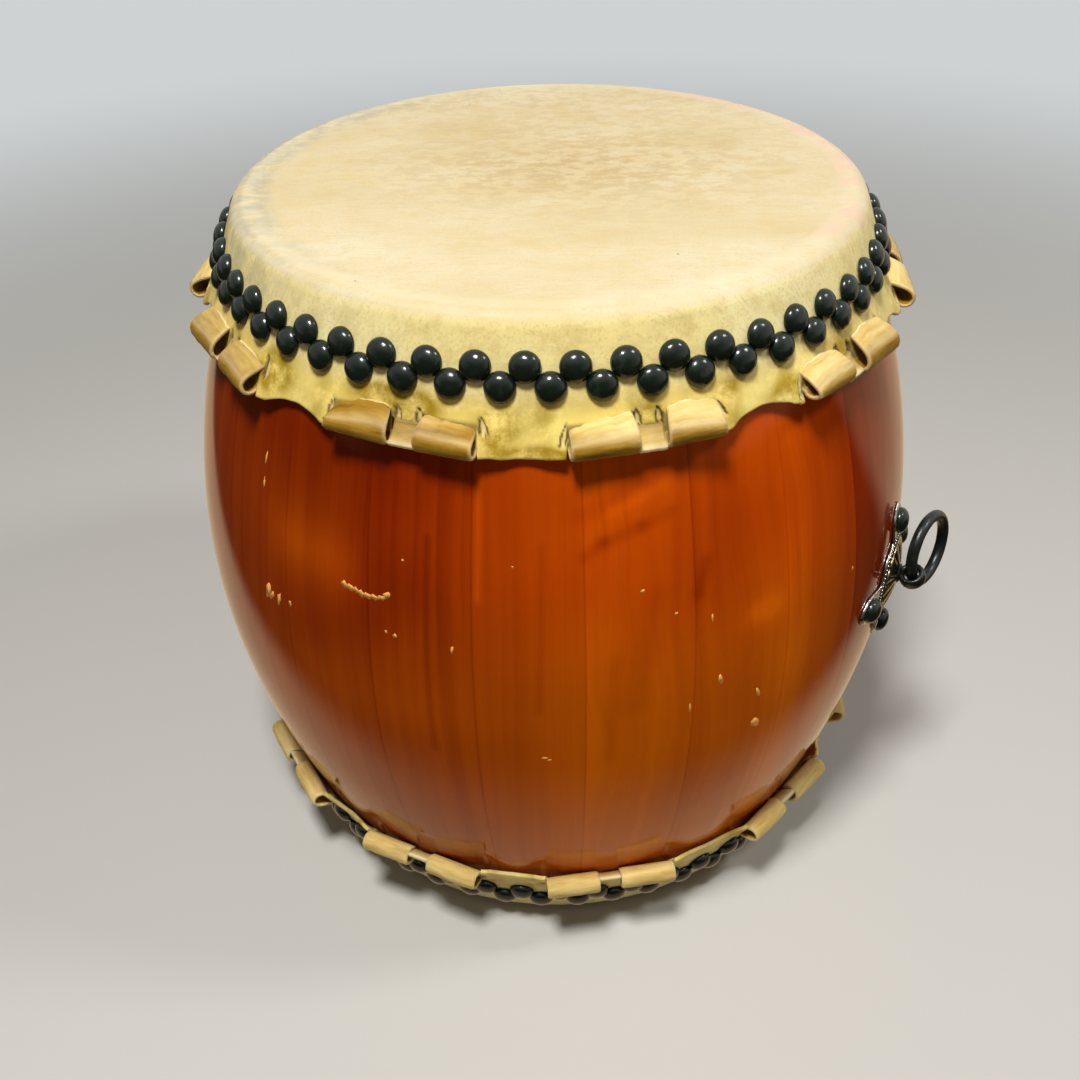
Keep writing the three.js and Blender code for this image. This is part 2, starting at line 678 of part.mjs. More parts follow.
function washerGeometry() {
  const profile = [
    new THREE.Vector2(shankHole, 0),
    new THREE.Vector2(WASHER_RADIUS, 0),
    new THREE.Vector2(WASHER_RADIUS, WASHER),
    new THREE.Vector2(shankHole, WASHER),
    new THREE.Vector2(shankHole, 0),
  ];
  const lathe = new THREE.LatheGeometry(profile, BOLT_SIDES);
  return lathe.rotateX(Math.PI / 2).rotateY(Math.PI / 2).translate(washerFace, 0, 0);
}

// Spaces that a handle needs in the shell: the bolt's hole and four tack holes
function handleCutters(angle) {
  const place = new THREE.Matrix4().makeRotationZ(angle * DEGREE).setPosition(0, 0, handleHeight);
  const length = STAVE_WALL + 2 * OVERRUN;
  const bolt = pinGeometry(shankHole, length, OVERRUN, BOLT_SIDES);
  const along = new THREE.Matrix4().makeRotationY(Math.PI / 2).setPosition(handleRadius, 0, 0);
  const cutters = [{ angle, tool: toSolid(bolt, place.clone().multiply(along)) }];
  plateTackPlaces.forEach((tack) => {
    const turn = tack.side / handleRadius / DEGREE;
    cutters.push({ angle: angle + turn, tool: tackHoleSolid(tack).transform(place.toArray()) });
  });
  return cutters;
}

function addHandle(group, side, angle) {
  const handle = new THREE.Group();
  handle.position.set(0, 0, handleHeight);
  handle.rotation.z = angle * DEGREE;
  const hinge = new THREE.Group();
  hinge.applyMatrix4(hingeMatrix());
  const ring = makeMesh(`handle_ring_${side}`, ringGeometry(), 'black_iron');
  ring.rotation.z = RING_SWING * DEGREE;
  hinge.add(ring);
  handle.add(hinge);
  handle.add(makeMesh(`eye_bolt_${side}`, eyeBoltGeometry(), 'black_iron'));
  handle.add(makeMesh(`handle_boss_${side}`, bossGeometry(), 'plated_steel'));
  handle.add(makeMesh(`seat_plate_${side}`, plateGeometry(), 'plated_steel'));
  handle.add(makeMesh(`inside_washer_${side}`, washerGeometry(), 'black_iron'));
  plateTackPlaces.forEach((place) => {
    const tack = makeMesh(`plate_tack_${side}_${place.name}`, plateTackGeometry(), 'black_iron');
    tack.applyMatrix4(placeMatrix(place.side, place.up, plateTop + GAP));
    handle.add(tack);
  });
  group.add(handle);
}

// A head: its skin and its chain of tacks, the lower one turned over
function addHead(group, side, angles, edgeShares) {
  const columns = skinColumns(angles, edgeShares);
  const head = new THREE.Group();
  head.add(makeMesh(`${side}_head_skin`, skinGeometry(angles, edgeShares), 'rawhide'));
  head.add(makeMesh(`${side}_head_tacks`, tackChainGeometry(columns), 'black_iron'));
  if (side === 'upper') {
    head.position.z = DRUM_HEIGHT;
  } else {
    head.rotation.x = Math.PI;
  }
  group.add(head);
}

const group = new THREE.Group();
const handleAngles = { right: HANDLE_ANGLE, left: HANDLE_ANGLE + 180 };
addStaves(group, Object.values(handleAngles).flatMap(handleCutters));
addHead(group, 'upper', earAngles(UPPER_EAR_ANGLE, UPPER_EAR_SHIFT_SHARES), UPPER_EDGE_SHARES);
addHead(group, 'lower', earAngles(-LOWER_EAR_ANGLE, LOWER_EAR_SHIFT_SHARES), LOWER_EDGE_SHARES);
Object.entries(handleAngles).forEach(([side, angle]) => addHandle(group, side, angle));

export default group;
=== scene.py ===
import random
from math import atan, atan2, copysign, cos, degrees, exp, hypot, pi, radians, sin, sqrt, tan
from types import SimpleNamespace

import bmesh
import bpy
import numpy as np
from mathutils import Euler, Matrix, Vector, noise


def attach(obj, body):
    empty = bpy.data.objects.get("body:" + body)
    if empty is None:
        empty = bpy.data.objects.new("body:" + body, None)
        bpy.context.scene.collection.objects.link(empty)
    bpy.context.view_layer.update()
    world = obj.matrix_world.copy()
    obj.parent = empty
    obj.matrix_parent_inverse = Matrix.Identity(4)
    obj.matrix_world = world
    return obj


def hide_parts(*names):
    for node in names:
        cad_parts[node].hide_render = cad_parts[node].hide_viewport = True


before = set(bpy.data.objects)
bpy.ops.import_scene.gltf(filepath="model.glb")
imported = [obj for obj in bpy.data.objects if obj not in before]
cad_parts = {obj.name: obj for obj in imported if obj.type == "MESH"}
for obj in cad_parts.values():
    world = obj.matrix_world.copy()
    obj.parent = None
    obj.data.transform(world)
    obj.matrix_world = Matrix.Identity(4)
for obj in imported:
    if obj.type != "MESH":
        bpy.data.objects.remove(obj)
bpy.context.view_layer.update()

# Lengths are in millimetres until a mesh is made
MM = 0.001

# Shell: a barrel of staves with rounded mouths
HEIGHT = 575.0
MID = HEIGHT / 2
BELLY = 300.0
MOUTH = 233.0
BARREL = 0.21
WALL = 27.0
EDGE = 9.0
STAVES = 24
STAVE_PITCH = 360 / STAVES
FIRST_JOINT = -86.0
STAVE_SEAM = 0.004

# Heads, in a frame whose z is zero at the head's plane; drops are measured down from it
HIDE = 3.0
HIDE_OUT = 3.8
COLLAR_END = 51.0
CREASE_DROP = 69.5
FOLD_DROP = 76.3
FREE_DROP = 84.0
ARCH = 13.0
PAIRS = 10
# Sides of a pair's two rolls: start and end of each, across the pair's middle
ROLL_SPANS = (-53.5, -8.0, 10.0, 53.5)
# Drops of a roll's raw edge at its start, middle and end, left roll then right roll
RAW_EDGES = ((64.0, 61.0, 61.5), (62.0, 61.0, 65.0))

# ears: angles of a head's pairs of ears. arches: rise of the free edge after each, as a share of ARCH.
# ripe_and_shade: share of golden brown at a roll's raw edge and at its fold, more on its lower side, partly
# the hide's colour and partly painted shade. aging: most that is added by chance.
# By pair, where they aren't the usual ones: spans; raw_edges; climbs, how far a roll's fold rises at its
# start and end; roll_gold_and_shade, golden brown added to each roll, partly painted shade; notch_age, that
# of its notch.
# stains: angle and drop, half angle and half drop, strength
UPPER = SimpleNamespace(
    seed=11,
    ears=(-4, 32, 68, 104, 140, 175, 211, 248.6, 282.5, 319.5),
    arches=(0.5, 0.6, 0.5, 0.75, 0.5, 0.65, 0.36, -0.12, 0.42, 0.5),
    ripe_and_shade=(0.0, 1.0),
    aging=0.5,
    spans={7: (-51.0, -5.0, 14.5, 54.0), 8: (-48.6, -4.5, 14.0, 51.5)},
    raw_edges={6: ((63.0, 61.0, 62.0), (61.0, 62.0, 66.0)), 7: ((72.5, 61.7, 62.5), (64.0, 65.9, 70.5)),
               8: ((68.5, 62.7, 59.9), (60.6, 58.6, 62.5)), 9: ((61.5, 58.5, 61.0), (61.3, 59.0, 62.5))},
    climbs={7: ((2.5, 0.0), (0.0, 0.0)), 8: ((0.0, 0.0), (1.0, 4.5)), 9: ((6.0, 1.5), (0.0, 0.0))},
    roll_gold_and_shade={6: (0.55, 0.55), 7: (1.0, 0.50), 8: (0.0, 0.22), 9: (0.15, 0.30)},
    notch_age={7: 1.0, 8: 0.6},
    stains=((247.0, 57.0, 4.2, 7.0, 1.0), (249.5, 63.0, 3.0, 7.0, 0.9), (262.8, 68.0, 2.2, 8.0, 0.9),
            (268.5, 82.0, 5.0, 4.0, 0.9), (224.8, 66.0, 3.0, 11.0, 0.8), (306.0, 70.0, 3.0, 7.0, 0.6),
            (284.5, 64.0, 1.6, 5.0, 0.8), (296.0, 56.0, 2.0, 6.0, 0.35)))
LOWER = SimpleNamespace(
    seed=23,
    ears=(6.0, 42.4, 80.9, 115.4, 151.1, 186, 222, 258, 294, 330),
    arches=(0.5, 0.7, 0.45, 0.6, 0.5, 0.8, 0.55, 0.6, 0.5, 0.65),
    ripe_and_shade=(0.40, 0.10),
    aging=0.175,
    spans={}, raw_edges={}, climbs={}, roll_gold_and_shade={}, notch_age={}, stains=())

# Tacks: two staggered rows to a head, and four on each handle's plate
TACKS = 50
TACK_PHASE = -86.4
TACK_DROPS = (31.3, 43.4)
TACK_RADIUS = 10.4
TACK_DOME = 7.6
PLATE_TACK_DOME = 7.8
PLATE_TACK_LENGTH = 16.0

# Handles
HANDLE_ANGLE = -24.1
HANDLE_HEIGHT = 281.5
RING_RADIUS = 28.2
WIRE = 4.7
RING_SWING = radians(78)
EYE_TWIST = radians(25.5)
EYE_LEAN = radians(-12)
EYE_MIDDLE = 8.1
EYE_HALF_BAND = 2.5
EYE_HALF_LENGTH = 5.6
HINGE_OUT = 18.91
PLATE_TOP = 2.51
PLATE_SEAT = 0.35
PLATE_HOLE = 4.8
PLATE_WAIST = 36.0
REACH_SIDE = 56.0
REACH_UP = 51.0
LOBE = 13.0
TIP = 4.0
TIP_ANGLE = 0.11
BOSS_TOP = 8.21
BOSS_RADIUS = 30.0
BOSS_PETALS = 14
BEADS = 60
BEAD_RADIUS = 1.5
BEAD_GAP = 3.0
SHANK_RADIUS = 4.5
LEG_RADIUS = 2.0
LEG_BEND = 2.3
LEG_REACH = 15.0


# Shapes

def shell_radius(z):
    s = (z - MID) / MID
    return BELLY - (BELLY - MOUTH) * ((1 + BARREL) * s * s - BARREL * s ** 4)


def shell_tilt(z):
    s = (z - MID) / MID
    return atan((BELLY - MOUTH) * (2 * (1 + BARREL) * s - 4 * BARREL * s ** 3) / MID)


EDGE_HEIGHT = HEIGHT - HIDE_OUT - EDGE
EDGE_TILT = shell_tilt(EDGE_HEIGHT)
EDGE_CENTRE = shell_radius(EDGE_HEIGHT + EDGE * sin(EDGE_TILT)) - EDGE * cos(EDGE_TILT)
HIDE_EDGE = EDGE + HIDE_OUT
HANDLE_RADIUS = shell_radius(HANDLE_HEIGHT)


def around(radius, turn, z):
    return (radius * cos(turn), radius * sin(turn), z)


def polar(radius, angle, z):
    return around(radius, radians(angle), z)


def apart(angle, start):
    """Degrees from one direction to another, from -180 to 180."""
    return (angle - start + 180) % 360 - 180


def round_turns(count):
    return [2 * pi * j / count for j in range(count)]


def smooth(a, b, x):
    t = min(max((x - a) / (b - a), 0.0), 1.0)
    return t * t * (3 - 2 * t)


def mix(a, b, t):
    return a + (b - a) * t


def hump(*offs):
    """A smooth hill: one where every distance is zero, nearly gone where one of them is two."""
    return exp(-sum(off ** 2 for off in offs))


def wobble(x, y, z):
    return noise.noise(Vector((x, y, z)))


def shell_normal(turn, z):
    tilt = shell_tilt(z)
    return Vector(around(cos(tilt), turn, sin(tilt)))


def frame_at(x, y, z, place):
    """Matrix from its three axes and its origin."""
    basis = Matrix((x, y, z)).transposed().to_4x4()
    basis.translation = place
    return basis


def seat_on(turn, z, point, lift):
    """A place on the shell or the hide, with Z along the shell's normal and X round the drum."""
    normal = shell_normal(turn, z)
    across = Vector((-sin(turn), cos(turn), 0))
    return frame_at(across, normal.cross(across), normal, Vector(point) + normal * lift)


# Meshes

def make_piece(name, points, faces, material, values=None, matrix=None):
    """A smooth mesh object from points in millimetres, with named values on its points."""
    mesh = bpy.data.meshes.new(name)
    mesh.from_pydata([tuple(MM * c for c in p) for p in points], [], faces)
    if matrix is not None:
        mesh.transform(matrix)
    for key, data in (values or {}).items():
        kind, field = ("FLOAT_VECTOR", "vector") if hasattr(data[0], "__len__") else ("FLOAT", "value")
        attribute = mesh.attributes.new(key, kind, "POINT")
        attribute.data.foreach_set(field, np.array(data, np.float32).ravel())
    mesh.validate()
    mesh.update()
    mesh.shade_smooth()
    mesh.materials.append(material)
    piece = bpy.data.objects.new(name, mesh)
    bpy.context.scene.collection.objects.link(piece)
    return piece


def settle(piece, body, slot, *nodes):
    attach(piece, body)
    if nodes:
        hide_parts(*nodes)


def outward(piece):
    """Turns every face outward."""
    mesh = bmesh.new()
    mesh.from_mesh(piece.data)
    bmesh.ops.recalc_face_normals(mesh, faces=mesh.faces)
    mesh.to_mesh(piece.data)
    mesh.free()
    return piece


def tube_faces(rows, columns, ends):
    """Faces of rows of points, each row a closed loop, with the two ends capped or joined to each other."""
    faces = []
    for i in range(rows - 1):
        for j in range(columns):
            k = (j + 1) % columns
            a, b = i * columns, (i + 1) * columns
            faces.append((a + j, a + k, b + k, b + j))
    last = (rows - 1) * columns
    if ends == "joined":
        return faces + [(last + j, last + (j + 1) % columns, (j + 1) % columns, j) for j in range(columns)]
    return faces + [tuple(range(columns))[::-1], tuple(range(last, last + columns))]


def spin(profile, count):
    """Rings of points round Z from (radius, z) pairs, closed with fans where a radius is zero."""
    points, faces, rings = [], [], []
    for radius, z in profile:
        if radius < 1e-6:
            rings.append([len(points)])
            points.append((0.0, 0.0, z))
        else:
            rings.append(list(range(len(points), len(points) + count)))
            points += [around(radius, turn, z) for turn in round_turns(count)]
    for low, high in zip(rings, rings[1:]):
        for j in range(count):
            k = (j + 1) % count
            if len(low) == 1:
                faces.append((low[0], high[k], high[j]))
            elif len(high) == 1:
                faces.append((low[j], low[k], high[0]))
            else:
                faces.append((low[j], low[k], high[k], high[j]))
    return points, faces


def joined(parts):
    """Points and faces of several parts as one."""
    points, faces = [], []
    for part_points, part_faces in parts:
        base = len(points)
        points += part_points
        faces += [tuple(base + i for i in face) for face in part_faces]
    return points, faces


def moved(part, matrix):
    points, faces = part
    return [tuple(matrix @ Vector(p)) for p in points], faces


# Materials

# Spacing of the growth rings on a stave's face, in metres
RING_PERIOD = 0.018
# Dark specks on the upper head: place and radius
SPOTS = ((-66.8, 176.4, HEIGHT, 1.3), (-124.5, -186.4, HEIGHT, 1.1), (85.3, -154.8, HEIGHT, 1.2))


class Nodes:
    """Short calls to build the node tree of a material or a world."""

    def __init__(self, owner):
        owner.use_nodes = True
        self.owner = owner
        self.tree = owner.node_tree
        self.shader = self.tree.nodes.get("Principled BSDF")

    def node(self, kind, inputs=None, **settings):
        made = self.tree.nodes.new(kind)
        for key, value in settings.items():
            setattr(made, key, value)
        for key, value in (inputs or {}).items():
            self.feed(made.inputs[key], value)
        return made

    def feed(self, socket, value):
        if isinstance(value, bpy.types.NodeSocket):
            self.tree.links.new(value, socket)
        else:
            socket.default_value = (*value, 1) if socket.type == "RGBA" else value

    def attribute(self, name, output="Fac"):
        return self.node("ShaderNodeAttribute", attribute_name=name).outputs[output]

    def place(self):
        return self.node("ShaderNodeTexCoord").outputs["Object"]

    def math(self, operation, a, b=0.0):
        return self.node("ShaderNodeMath", {0: a, 1: b}, operation=operation).outputs[0]

    def times(self, a, b):
        return self.math("MULTIPLY", a, b)

    def plus(self, a, b):
        return self.math("ADD", a, b)

    def less(self, a, b):
        return self.math("SUBTRACT", a, b)

    def swing(self, value, width):
        """A value round one half, moved to lie round zero and scaled."""
        return self.times(self.less(value, 0.5), width)

    def split(self, vector):
        return self.node("ShaderNodeSeparateXYZ", {"Vector": vector}).outputs

    def noise(self, vector, scale, detail=3.0, roughness=0.5):
        """Noise at one scale, or at a scale of its own along each axis."""
        if isinstance(scale, tuple):
            mapping = self.node("ShaderNodeMapping", {"Vector": vector, "Scale": scale})
            vector, scale = mapping.outputs["Vector"], 1.0
        inputs = {"Vector": vector, "Scale": scale, "Detail": detail, "Roughness": roughness}
        return self.node("ShaderNodeTexNoise", inputs).outputs["Fac"]

    def ramp(self, value, *stops):
        made = self.node("ShaderNodeValToRGB", {"Fac": value})
        elements = made.color_ramp.elements
        while len(elements) < len(stops):
            elements.new(0.5)
        for element, (position, colour) in zip(elements, stops):
            element.position = position
            element.color = (*colour, 1)
        return made.outputs["Color"]

    def step(self, value, low, high):
        inputs = {"Value": value, "From Min": low, "From Max": high}
        made = self.node("ShaderNodeMapRange", inputs, interpolation_type="SMOOTHSTEP")
        return made.outputs["Result"]

    def span(self, value, low, high):
        inputs = {"Value": value, "To Min": low, "To Max": high}
        return self.node("ShaderNodeMapRange", inputs).outputs["Result"]

    def blend(self, share, a, b, mode="MIX"):
        made = self.node("ShaderNodeMix", data_type="RGBA", blend_type=mode)
        self.feed(made.inputs["Factor"], share)
        self.feed(made.inputs[6], a)
        self.feed(made.inputs[7], b)
        return made.outputs[2]

    def tint(self, base, colour, mask, share):
        """Lays a colour over a base where a mask is high."""
        return self.blend(self.times(mask, share), base, colour)

    def bump(self, height, strength, distance, normal=None):
        inputs = {"Height": height, "Strength": strength, "Distance": distance}
        if normal is not None:
            inputs["Normal"] = normal
        return self.node("ShaderNodeBump", inputs).outputs["Normal"]

    def mixed(self, share, first, second):
        return self.node("ShaderNodeMixShader", {0: share, 1: first, 2: second}).outputs[0]

    def finish(self, **values):
        for key, value in values.items():
            self.feed(self.shader.inputs[key.replace("_", " ")], value)
        return self.owner


def new_material(name):
    return Nodes(bpy.data.materials.new(name))


def growth_rings(n, across, bent):
    """Thin dark lines that each fade to one side, coming and going along the stave."""
    drift = n.noise(bent, (9, 2.2, 1), 1.0)
    count = n.plus(n.times(across, 1 / RING_PERIOD), n.times(drift, 1.3))
    place_in_ring = n.math("FRACT", count)
    late = n.less(1.0, n.step(place_in_ring, 0.02, 0.42))
    early = n.step(place_in_ring, 0.0, 0.03)
    fade = n.step(n.noise(bent, (22, 4, 1), 1.0), 0.40, 0.66)
    return n.times(n.times(late, early), fade)


def lacquered_wood():
    n = new_material("lacquered_wood")
    grain = n.attribute("grain", "Vector")
    # The lower mask is high at the bottom of the barrel and on its far left: there it fades the growth rings
    # and paints in the floor's reflection
    low = n.attribute("lower")
    warp = n.swing(n.noise(grain, (14, 6, 1), 2.0), n.times(n.attribute("figure"), 0.045))
    parts = n.split(grain)
    across = n.plus(parts["X"], warp)
    bent = n.node("ShaderNodeCombineXYZ", {"X": across, "Y": parts["Y"], "Z": parts["Z"]}).outputs["Vector"]
    bands = n.noise(bent, (75, 1.5, 1), 3.0, roughness=0.55)
    lines = n.noise(bent, (520, 5, 1), 2.0, roughness=0.6)
    pores = n.noise(bent, (2100, 55, 1), 2.0)
    cloud = n.noise(n.place(), 8.0, 2.0)
    shade = n.plus(n.swing(bands, 0.42), n.attribute("tone"))
    shade = n.plus(shade, n.swing(lines, 0.10))
    shade = n.plus(shade, n.swing(cloud, 0.28))
    ring_depth = n.less(0.10, n.times(low, 0.08))
    shade = n.less(shade, n.times(growth_rings(n, across, bent), ring_depth))
    joint = n.less(1.0, n.step(n.attribute("seam"), 0.35, 1.3))
    shade = n.less(shade, n.times(joint, 0.11))
    colour = n.ramp(shade,
                    (0.0, (0.200, 0.0130, 0.0006)),
                    (0.25, (0.290, 0.0250, 0.0008)),
                    (0.5, (0.420, 0.0450, 0.0010)),
                    (0.75, (0.560, 0.0690, 0.0010)),
                    (1.0, (0.740, 0.1050, 0.0012)))
    colour = n.tint(colour, (0.12, 0.010, 0.001), n.step(pores, 0.60, 0.8), 0.16)
    # Painted floor reflection: browner, less red lacquer at the bottom and on the far left
    colour = n.blend(low, colour, (0.98, 1.45, 1.0), "MULTIPLY")
    normal = n.bump(n.noise(n.place(), 9.0, 1.0), 0.22, 0.004)
    normal = n.bump(n.noise(n.place(), 420.0, 2.0), 0.04, 0.0004, normal)
    rough = n.plus(n.times(n.noise(n.place(), 35.0), 0.05), 0.06)
    return n.finish(Base_Color=colour, Roughness=rough, Normal=normal, IOR=1.40,
                    Specular_Tint=(1.0, 0.42, 0.16))


def rawhide():
    n = new_material("rawhide")
    place = n.place()
    fibres = n.noise(place, (45, 480, 45), 4.0, roughness=0.65)
    clouds = n.noise(place, (6, 11, 6), 4.0, roughness=0.6)
    blotch = n.noise(place, (30, 60, 30), 4.0, roughness=0.6)
    patches = n.noise(place, (62, 100, 62), 4.0, roughness=0.7)
    mottle = n.noise(place, 60.0, 5.0, roughness=0.7)
    specks = n.noise(place, 520.0, 3.0, roughness=0.6)
    # The wall is yellower than the flat in its own right; beyond that the flat is painted darker and the wall
    # brighter, painted shade and light that even out the flat's stronger light
    flat = n.ramp(clouds,
                  (0.30, (0.70, 0.620, 0.425)),
                  (0.50, (0.66, 0.560, 0.355)),
                  (0.72, (0.59, 0.465, 0.250)))
    wall_yellow_brightened = n.ramp(clouds,
                  (0.30, (0.97, 0.850, 0.470)),
                  (0.50, (0.95, 0.790, 0.360)),
                  (0.72, (0.88, 0.680, 0.250)))
    base = n.blend(n.attribute("side"), flat, wall_yellow_brightened)
    base = n.tint(base, (0.62, 0.44, 0.17), n.step(blotch, 0.50, 0.72), 0.26)
    base = n.tint(base, (0.58, 0.42, 0.18), n.step(fibres, 0.48, 0.72), 0.30)
    base = n.tint(base, (0.58, 0.41, 0.14), n.step(specks, 0.50, 0.68), 0.34)
    base = n.tint(base, (0.62, 0.44, 0.15), n.step(mottle, 0.46, 0.66), 0.30)
    # The played middle is rubbed brown in small mottled patches; the same mask browns the back of the flat as
    # painted shade
    worn = n.attribute("worn")
    base = n.tint(base, (0.44, 0.28, 0.11), n.times(worn, n.step(patches, 0.42, 0.60)), 0.60)
    base = n.tint(base, (0.50, 0.36, 0.15), worn, 0.12)
    # Greyer and darker in patches on the left side of the hide
    base = n.tint(base, (0.36, 0.34, 0.27), n.attribute("left_greying"), n.step(patches, 0.35, 0.60))
    base = n.tint(base, (1.0, 0.76, 0.20), n.attribute("yellow"), 0.85)
    base = n.tint(base, (0.40, 0.26, 0.012), n.attribute("stain"), n.step(mottle, 0.22, 0.60))
    # Pale lines at the flat's edge and on the roundover beyond it; the line on the roundover is a painted
    # highlight
    base = n.tint(base, (0.74, 0.655, 0.43), n.attribute("rim"), n.step(blotch, 0.26, 0.52))
    base = n.tint(base, (0.72, 0.50, 0.36), n.attribute("pink"), n.step(blotch, 0.42, 0.60))
    roll = n.attribute("roll")
    streaks = n.noise(n.attribute("flow", "Vector"), (28, 210, 1), 4.0, roughness=0.62)
    cream = n.ramp(streaks,
                   (0.34, (0.86, 0.69, 0.31)),
                   (0.52, (0.78, 0.57, 0.20)),
                   (0.70, (0.60, 0.39, 0.10)))
    # Darker golden brown for a roll's lower side: partly the hide's own colour, partly painted shade
    golden = n.ramp(streaks,
                    (0.36, (0.42, 0.240, 0.024)),
                    (0.52, (0.33, 0.170, 0.008)),
                    (0.68, (0.20, 0.092, 0.005)))
    base = n.blend(roll, base, n.blend(n.attribute("gold_and_shade"), cream, golden))
    # Pale cut edges, raw edges and slits, and a painted highlight stripe along each roll's upper bend
    base = n.blend(n.attribute("edge"), base, (0.84, 0.69, 0.40))
    # Painted shade: near black brown in the slits' openings, on the skirt behind the rolls where it shows
    # through the bores, and along the notches' creases
    base = n.tint(base, (0.085, 0.045, 0.010), n.attribute("dark"), 0.92)
    for x, y, z, radius in SPOTS:
        away = n.node("ShaderNodeVectorMath", {0: place, 1: (MM * x, MM * y, MM * z)},
                      operation="DISTANCE").outputs["Value"]
        near = n.less(1.0, n.step(away, 0.4 * MM * radius, MM * radius))
        base = n.tint(base, (0.10, 0.06, 0.03), near, 0.8)
    creases = n.noise(place, (300, 300, 120), 3.0)
    normal = n.bump(n.plus(n.times(fibres, 0.5), creases), 0.30, 0.0006)
    normal = n.bump(blotch, 0.16, 0.0015, normal)
    normal = n.bump(n.times(streaks, roll), 0.50, 0.0014, normal)
    rough = n.ramp(fibres, (0.3, (0.50, 0.50, 0.50)), (0.8, (0.66, 0.66, 0.66)))
    return n.finish(Base_Color=base, Roughness=rough, Normal=normal, Subsurface_Weight=0.40,
                    Subsurface_Radius=(1.0, 0.80, 0.50), Subsurface_Scale=0.005,
                    Specular_IOR_Level=0.36, Specular_Tint=(1.0, 0.84, 0.52))


def black_iron(name, low, high, colour, worn, share):
    n = new_material(name)
    place = n.place()
    patches = n.noise(place, 160.0, 3.0)
    base = n.tint(colour, worn, n.step(patches, 0.52, 0.72), share)
    normal = n.bump(n.noise(place, 230.0, 1.0), 0.20, 0.0009)
    normal = n.bump(n.noise(place, 900.0, 2.0), 0.10, 0.0003, normal)
    return n.finish(Base_Color=base, Roughness=n.span(patches, low, high), Normal=normal, IOR=1.45)


def plated_steel(name, colour, dull):
    n = new_material(name)
    place = n.place()
    patches = n.noise(place, 120.0, 4.0, roughness=0.65)
    base = n.blend(n.step(patches, 0.45, 0.75), colour, dull)
    pits = n.bump(n.noise(place, 700.0, 2.0), 0.10, 0.0003)
    return n.finish(Base_Color=base, Roughness=n.span(patches, 0.12, 0.38), Metallic=1.0, Normal=pits)


def bare_wood():
    n = new_material("bare_wood")
    fibres = n.noise(n.place(), (900, 900, 90), 3.0)
    base = n.ramp(fibres, (0.3, (0.95, 0.48, 0.10)), (0.7, (0.80, 0.30, 0.035)))
    return n.finish(Base_Color=base, Roughness=0.6, Normal=n.bump(fibres, 0.3, 0.0003))


wood = lacquered_wood()
hide = rawhide()
tack_black = black_iron("tack_black", 0.14, 0.26, (0.0060, 0.0110, 0.0060), (0.017, 0.026, 0.016), 0.6)
ring_black = black_iron("ring_black", 0.22, 0.38, (0.006, 0.009, 0.007), (0.016, 0.019, 0.016), 0.7)
plate_steel = plated_steel("plate_steel", (0.46, 0.44, 0.39), (0.13, 0.12, 0.09))
boss_steel = plated_steel("boss_steel", (0.46, 0.38, 0.20), (0.20, 0.15, 0.06))
raw_wood = bare_wood()


# Shell: one piece per stave, each with its own grain

# Tone at the two edges of the staves whose tone the object shows, by stave number from zero
STAVE_TONES = {19: (0.28, 0.30), 20: (0.32, 0.28), 21: (0.28, 0.25), 22: (0.26, 0.46), 23: (0.50, 0.76),
               0: (0.88, 0.72), 1: (0.60, 0.82), 2: (0.84, 0.44), 3: (0.16, 0.12), 4: (0.24, 0.30)}
STAVE_FIGURES = {0: 1.0, 1: 0.7, 2: 0.5, 22: 0.15, 23: 0.15, 21: 0.2}
# Staves that carry strokes, and the slices and levels of these and of the rest
FINE_STAVES = (22, 23, 0, 1)
FINE_GRID = (36, 170)
PLAIN_GRID = (14, 80)
# Strokes in the grain: degrees and height of the two ends, half width, change of tone
STROKES = (
    (-85.0, 478.0, -82.2, 479.0, 9.0, 0.08), (-86.2, 450.5, -74.2, 475.0, 6.5, -0.16),
    (-81.9, 451.6, -74.8, 465.0, 5.0, 0.16), (-86.0, 421.6, -83.4, 431.0, 4.5, -0.20),
    (-83.4, 431.0, -78.1, 439.5, 4.5, -0.20), (-78.1, 439.5, -74.2, 446.0, 4.5, -0.16),
    (-70.4, 383.0, -69.2, 407.0, 5.0, -0.20), (-61.5, 354.0, -59.0, 355.0, 11.0, 0.26),
    (-125.0, 330.0, -117.0, 360.0, 26.0, -0.10), (-107.4, 250.0, -107.2, 430.0, 2.6, -0.20),
    (-92.2, 300.0, -91.6, 430.0, 2.6, -0.14), (-100.2, 390.0, -100.0, 470.0, 2.4, 0.24),
    (-79.5, 300.0, -76.5, 390.0, 9.0, -0.12), (-83.0, 250.0, -82.0, 340.0, 6.0, -0.10),
    (-140.0, 485.0, -112.0, 480.0, 48.0, -0.28), (-130.0, 398.0, -120.5, 394.0, 24.0, 0.28),
    (-84.0, 395.0, -74.0, 390.0, 40.0, -0.12), (-115.0, 392.0, -110.0, 390.0, 26.0, -0.14),
    (-66.0, 440.0, -56.0, 430.0, 30.0, -0.08), (-126.0, 285.0, -104.0, 290.0, 36.0, 0.14))
STROKE_REACH = 30


def stave_levels(count):
    """Radius and height of a stave's outer face from its lower mouth to its upper one."""
    steps = 7
    edge = []
    for k in range(steps + 1):
        turn = mix(pi / 2, EDGE_TILT, k / steps)
        edge.append((EDGE_CENTRE + EDGE * cos(turn), EDGE_HEIGHT + EDGE * sin(turn)))
    low = [(r, HEIGHT - z) for r, z in edge]
    middle = [(shell_radius(z), z) for z in np.linspace(low[-1][1], edge[-1][1], count)[1:-1]]
    return low + middle + edge[::-1]


